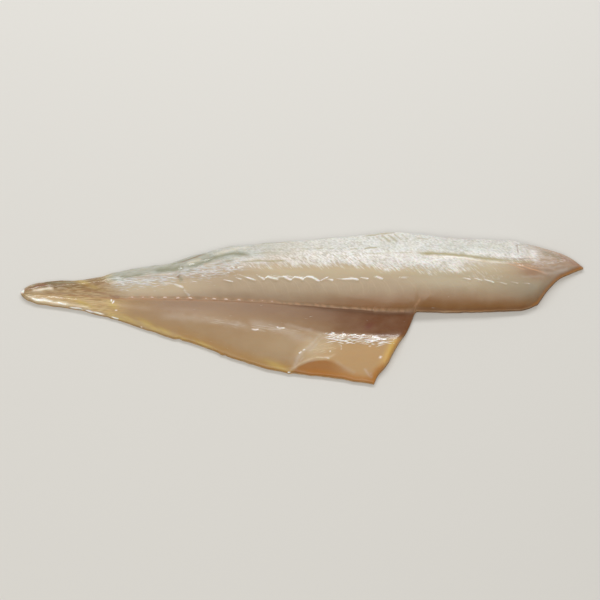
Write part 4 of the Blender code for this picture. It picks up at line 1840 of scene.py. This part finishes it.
def grid_faces(rows: int, columns: int, start: int = 0, flip: bool = False) -> list[tuple[int, ...]]:
    """Lists the four-sided faces of a grid of points stored row by row.

    Args:
        rows: The number of rows.
        columns: The number of points in a row.
        start: The first point's number.
        flip: Whether the faces look the other way.

    Returns:
        The faces.
    """
    i, j = np.meshgrid(np.arange(rows - 1), np.arange(columns - 1), indexing="ij")
    a = (start + i * columns + j).ravel()
    b, c, d = a + columns, a + columns + 1, a + 1
    loop = (a, d, c, b) if flip else (a, b, c, d)
    return list(zip(*(part.tolist() for part in loop)))


def rim_loop(rows: int, columns: int, start: int = 0) -> list[int]:
    """Lists the border points of a grid once around.

    Args:
        rows: The number of rows.
        columns: The number of points in a row.
        start: The first point's number.

    Returns:
        The points' numbers.
    """
    first = [start + j for j in range(columns)]
    right = [start + i * columns + columns - 1 for i in range(1, rows)]
    last = [start + (rows - 1) * columns + j for j in range(columns - 2, -1, -1)]
    left = [start + i * columns for i in range(rows - 2, 0, -1)]
    return first + right + last + left


@dataclass
class Fillet:
    """The fillet: its flesh, its skin and the pin-bone ends along its seam."""

    surface: Surface = field(default_factory=Surface)
    station_step: float = 0.8
    rows_across: int = 200
    flesh_inset: float = 0.45
    flesh_floor: float = 0.35
    skin_step: float = 1.2
    skin_thickness: float = 0.62
    skin_rim: float = 0.34
    bead_rings: int = 7
    bead_around: int = 12
    # Where each pin-bone end stands along the seam, and its size against the largest.
    beads: Knots = (
        (-114.9, 0.45), (-107.5, 0.45), (-101.4, 0.55), (-92.7, 0.85), (-83.9, 0.75), (-75.8, 1),
        (-65, 0.5), (-59.6, 0.85), (-51.6, 1), (-42.8, 0.85), (-34, 0.35), (-27, 0.35), (-20.5, 0.45),
    )

    def stations(self, step: float, inset: float) -> Array:
        """The x of each section, closer at both tips, with one on each corner.

        Args:
            step: The distance between sections.
            inset: How far inside the tips the first and last stand.

        Returns:
            The x values.
        """
        outline = self.surface.form.outline
        low, high = outline.tail_x + inset, outline.head_x - inset
        count = round((high - low) / step)
        even = np.linspace(0.0, 1.0, count + 1)
        eased = even - 0.004 * np.sin(2 * np.pi * even)
        tips = np.array([0.12, 0.35, 0.7, 1.2])
        x = np.unique(np.concatenate([low + (high - low) * eased, low + tips, high - tips]))
        corners = np.array(outline.corners())
        clear = np.abs(x[:, None] - corners).min(axis=1) > step / 3
        return np.sort(np.concatenate([x[clear], corners]))

    def flesh(self) -> bpy.types.Object:
        """Models the flesh as one closed solid: a fine top, a short wall and a flat bottom.

        Returns:
            The flesh.
        """
        form = self.surface.form
        outline = form.outline
        x = self.stations(self.station_step, self.flesh_inset)
        front, back = outline.front_edge(x), outline.back_edge(x)
        width = back - front
        inset = np.minimum(self.flesh_inset * (1 + 0.5 * Noise(61)(x, x * 0, 6, 9)), width / 5)
        # The points lie a little closer towards the back, where the top falls steeply.
        share = np.linspace(0.0, 1.0, self.rows_across) ** 0.85
        grid_x = np.repeat(x[:, None], self.rows_across, axis=1)
        grid_y = (front + inset)[:, None] + (width - 2 * inset)[:, None] * share
        inward = outline.inward(grid_x, grid_y)
        grid_z = self.surface.top(grid_x, grid_y, inward)
        top = np.stack([grid_x, grid_y, grid_z], axis=-1).reshape(-1, 3)
        fields = Looks(self.surface).fields(grid_x, grid_y, inward)
        rows, columns = grid_x.shape
        loop = rim_loop(rows, columns)
        foot = top[loop].copy()
        foot[:, 2] = self.flesh_floor
        points = np.concatenate([top, foot])
        base = len(top)
        count = len(loop)
        faces = grid_faces(rows, columns)
        for k in range(count):
            after = (k + 1) % count
            faces.append((loop[k], loop[after], base + after, base + k))
        faces += self.strip(base, rows, columns)
        values = {name: np.concatenate([f.ravel(), f.ravel()[loop]]) for name, f in fields.items()}
        return mesh_object("flesh", points, faces, values)

    @staticmethod
    def strip(base: int, rows: int, columns: int) -> list[tuple[int, ...]]:
        """Closes the bottom: each section's front foot joined to its back foot.

        Args:
            base: The number of the loop's first foot point.
            rows: The number of sections.
            columns: The number of points across.

        Returns:
            The faces.
        """
        count = 2 * (rows + columns) - 4
        tip = base + columns + rows - 2 + columns - 1
        front = [base] + [base + count - i for i in range(1, rows - 1)] + [tip]
        back = [base + columns - 1 + i for i in range(rows)]
        faces: list[tuple[int, ...]] = []
        for i in range(1, rows - 2):
            faces.append((front[i], back[i], back[i + 1], front[i + 1]))
        first = tuple(base + j for j in range(columns))
        faces.append((front[1],) + first + (back[1],))
        last = tuple(base + columns - 1 + rows - 1 + j for j in range(columns))
        faces.append((back[rows - 2],) + last + (front[rows - 2],))
        return faces

    def skin(self) -> bpy.types.Object:
        """Models the skin as a thin closed sheet under the flesh, a little wider than it.

        Returns:
            The skin.
        """
        outline = self.surface.form.outline
        x = self.stations(self.skin_step, 0.0)
        front, back = outline.front_edge(x), outline.back_edge(x)
        # The sections' points close up at both edges and at the dark line along the side.
        side_line = self.surface.form.seam(x) + 2 + 6 * smooth(x, 20, 150)
        margin = 0.15 * (back - front)
        side = np.clip(side_line, front + margin, back - margin)
        eased = (1 - np.cos(np.linspace(0.0, np.pi, 45))) / 2
        ahead = front[:, None] + (side - front)[:, None] * eased
        behind = side[:, None] + (back - side)[:, None] * eased[1:]
        grid_y = np.concatenate([ahead, behind], axis=1)
        columns = grid_y.shape[1]
        grid_x = np.repeat(x[:, None], columns, axis=1)
        inward = outline.inward(grid_x, grid_y)
        upper = np.full(grid_x.shape, self.skin_thickness) + 0.1 * Noise(62)(grid_x, grid_y, 9, 5)
        upper = self.skin_rim + (upper - self.skin_rim) * smooth(inward, 0, 0.5)
        lower = 0.20 * (1 - smooth(inward, 0, 0.8)) + 0.05 + 0.05 * Noise(63)(grid_x, grid_y, 17, 11)
        rows = len(x)
        top = np.stack([grid_x, grid_y, upper], axis=-1).reshape(-1, 3)
        under = np.stack([grid_x, grid_y, lower], axis=-1).reshape(-1, 3)
        base = len(top)
        faces = grid_faces(rows, columns) + grid_faces(rows, columns, base, flip=True)
        loop = rim_loop(rows, columns)
        for k in range(len(loop)):
            a, b = loop[k], loop[(k + 1) % len(loop)]
            faces.append((a, b, base + b, base + a))
        seam = self.surface.form.seam(grid_x)
        back_share = np.clip((grid_y - seam) / np.maximum(back[:, None] - seam, 1.0), 0, 1)
        line = bell(grid_y - side_line[:, None], 1.5) * smooth(inward, 1, 5)
        edge = smooth(inward, 2.5, 0.6)
        smoked = edge * smooth(grid_x, 70, 80) * smooth(grid_x, 186, 170)
        smoked = smoked * smooth(back_share, 0.5, 0.2)
        weights = {"back": smooth(back_share, 0.25, 0.95), "line": line, "edge": edge, "smoked": smoked}
        values = {name: np.concatenate([w.ravel(), w.ravel()]) for name, w in weights.items()}
        return mesh_object("skin", np.concatenate([top, under]), faces, values)

    def pin_bones(self) -> bpy.types.Object:
        """Models the pin-bone ends: a row of small uneven beads half sunk in the seam.

        Returns:
            The beads, joined into one mesh.
        """
        rng = np.random.default_rng(SEED)
        rings, around = self.bead_rings, self.bead_around
        form = self.surface.form
        at_x = np.array([bead[0] for bead in self.beads])
        at_y = form.seam(at_x) + 0.7
        at_z = self.surface.top(at_x, at_y, form.outline.inward(at_x, at_y))
        points: list[Array] = []
        faces: list[tuple[int, ...]] = []
        for x, y, z, (_, size) in zip(at_x, at_y, at_z, self.beads):
            radii = size * np.array([rng.uniform(1.5, 2.1), rng.uniform(0.60, 0.80), rng.uniform(0.45, 0.55)])
            turn = rng.uniform(-0.4, 0.4)
            first = sum(len(p) for p in points)
            bead = self.bead(rings, around) * radii
            along, aside = math.cos(turn), math.sin(turn)
            spin = np.array([[along, -aside, 0], [aside, along, 0], [0, 0, 1]])
            points.append(bead @ spin.T + (x, y, z))
            for i in range(rings - 1):
                for j in range(around):
                    a, b = first + 1 + i * around + j, first + 1 + i * around + (j + 1) % around
                    faces.append((a, a + around, b + around, b))
            last = first + 1 + rings * around
            for j in range(around):
                after = (j + 1) % around
                faces.append((first, first + 1 + j, first + 1 + after))
                faces.append((last, last - around + after, last - around + j))
        return mesh_object("pin_bone_ends", np.concatenate(points), faces)

    @staticmethod
    def bead(rings: int, around: int) -> Array:
        """The points of a ball of radius 1: a top point, rings, and a bottom point.

        Args:
            rings: The number of rings between the two points.
            around: The number of points on a ring.

        Returns:
            The points, one row each.
        """
        down = np.pi * np.arange(1, rings + 1) / (rings + 1)
        turn = 2 * np.pi * np.arange(around) / around
        ring_x = np.sin(down)[:, None] * np.cos(turn)
        ring_y = np.sin(down)[:, None] * np.sin(turn)
        ring_z = np.repeat(np.cos(down)[:, None], around, axis=1)
        body = np.stack([ring_x, ring_y, ring_z], axis=-1).reshape(-1, 3)
        return np.concatenate([[[0.0, 0.0, 1.0]], body, [[0.0, 0.0, -1.0]]])

    def build(self) -> list[bpy.types.Object]:
        """Models and dresses every piece of the fillet.

        Returns:
            The pieces.
        """
        made = [
            (self.flesh(), SmokedFlesh().build()),
            (self.skin(), SmokedSkin().build()),
            (self.pin_bones(), PinBone().build()),
        ]
        for piece, material in made:
            piece.data.materials.append(material)
            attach(piece, "root")
        pieces = [piece for piece, _ in made]
        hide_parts("fillet")
        return pieces


# ---- The studio ----


@dataclass(frozen=True)
class Lamp:
    """A soft rectangular studio lamp, aimed at the fillet."""

    name: str
    place: tuple[float, float, float]
    size: tuple[float, float]
    watts: float
    colour: str = "#FFFFFF"

    def build(self) -> bpy.types.Object:
        """Makes the lamp.

        Returns:
            The lamp.
        """
        data = bpy.data.lights.new(self.name, "AREA")
        data.shape = "RECTANGLE"
        data.size, data.size_y = self.size
        data.energy = self.watts
        data.color = linear(self.colour)[:3]
        lamp = bpy.data.objects.new(self.name, data)
        lamp.location = self.place
        lamp.rotation_euler = (-Vector(self.place)).to_track_quat("-Z", "Y").to_euler()
        lamp.visible_camera = False
        bpy.context.scene.collection.objects.link(lamp)
        return lamp


@dataclass
class Studio:
    """A plain pale floor, soft lamps, a soft sky and the camera at the photo's viewing angle."""

    lens_mm: float = 140.8
    sensor_mm: float = 36.0
    elevation: float = 69.5
    distance_mm: float = 1585.0
    view_reach_m: float = 50.0
    target_mm: tuple[float, float, float] = (-1.75, 5.75, 0.0)
    floor_m: float = 12.0
    sky: str = "#CDCBC6"
    sky_strength: float = 0.78
    lamps: tuple[Lamp, ...] = (
        Lamp("back_softbox", (0.0, 1.05, 0.82), (1.4, 0.18), 10.0, "#FFFFFF"),
        Lamp("front_fill", (-0.3, -0.8, 1.3), (1.4, 1.0), 8.0, "#FFFAF2"),
    )

    def floor(self) -> bpy.types.Object:
        """Lays the floor.

        Returns:
            The floor.
        """
        half = self.floor_m / 2 / MM
        corners = np.array([[-half, -half, 0.0], [half, -half, 0.0], [half, half, 0.0], [-half, half, 0.0]])
        floor = mesh_object("floor", corners, [(0, 1, 2, 3)])
        floor.data.materials.append(PaintedFloor().build())
        return floor

    def light(self) -> None:
        """Hangs the lamps and sets the soft sky."""
        for lamp in self.lamps:
            lamp.build()
        world = bpy.data.worlds.new("soft_sky")
        world.use_nodes = True
        background = world.node_tree.nodes["Background"]
        background.inputs["Color"].default_value = linear(self.sky)
        background.inputs["Strength"].default_value = self.sky_strength
        bpy.context.scene.world = world

    def camera(self) -> bpy.types.Object:
        """Places the camera.

        Returns:
            The camera.
        """
        data = bpy.data.cameras.new("camera")
        data.lens = self.lens_mm
        data.sensor_width = self.sensor_mm
        data.clip_end = self.view_reach_m
        camera = bpy.data.objects.new("camera", data)
        tilt = math.radians(self.elevation)
        target = Vector(self.target_mm) * MM
        camera.location = target + Vector((0.0, -math.cos(tilt), math.sin(tilt))) * self.distance_mm * MM
        camera.rotation_euler = (target - camera.location).to_track_quat("-Z", "Y").to_euler()
        bpy.context.scene.collection.objects.link(camera)
        bpy.context.scene.camera = camera
        return camera

    def build(self) -> None:
        """Sets up the floor, the light and the camera."""
        self.floor()
        self.light()
        self.camera()
        bpy.context.scene.view_settings.view_transform = "Standard"


def main() -> None:
    """Builds the studio and the fillet, and reports each piece."""
    logging.basicConfig(level=logging.INFO, format="%(name)s: %(message)s")
    Studio().build()
    for piece in Fillet().build():
        LOG.info("%s: %d faces", piece.name, len(piece.data.polygons))


if __name__ == "__main__":
    main()
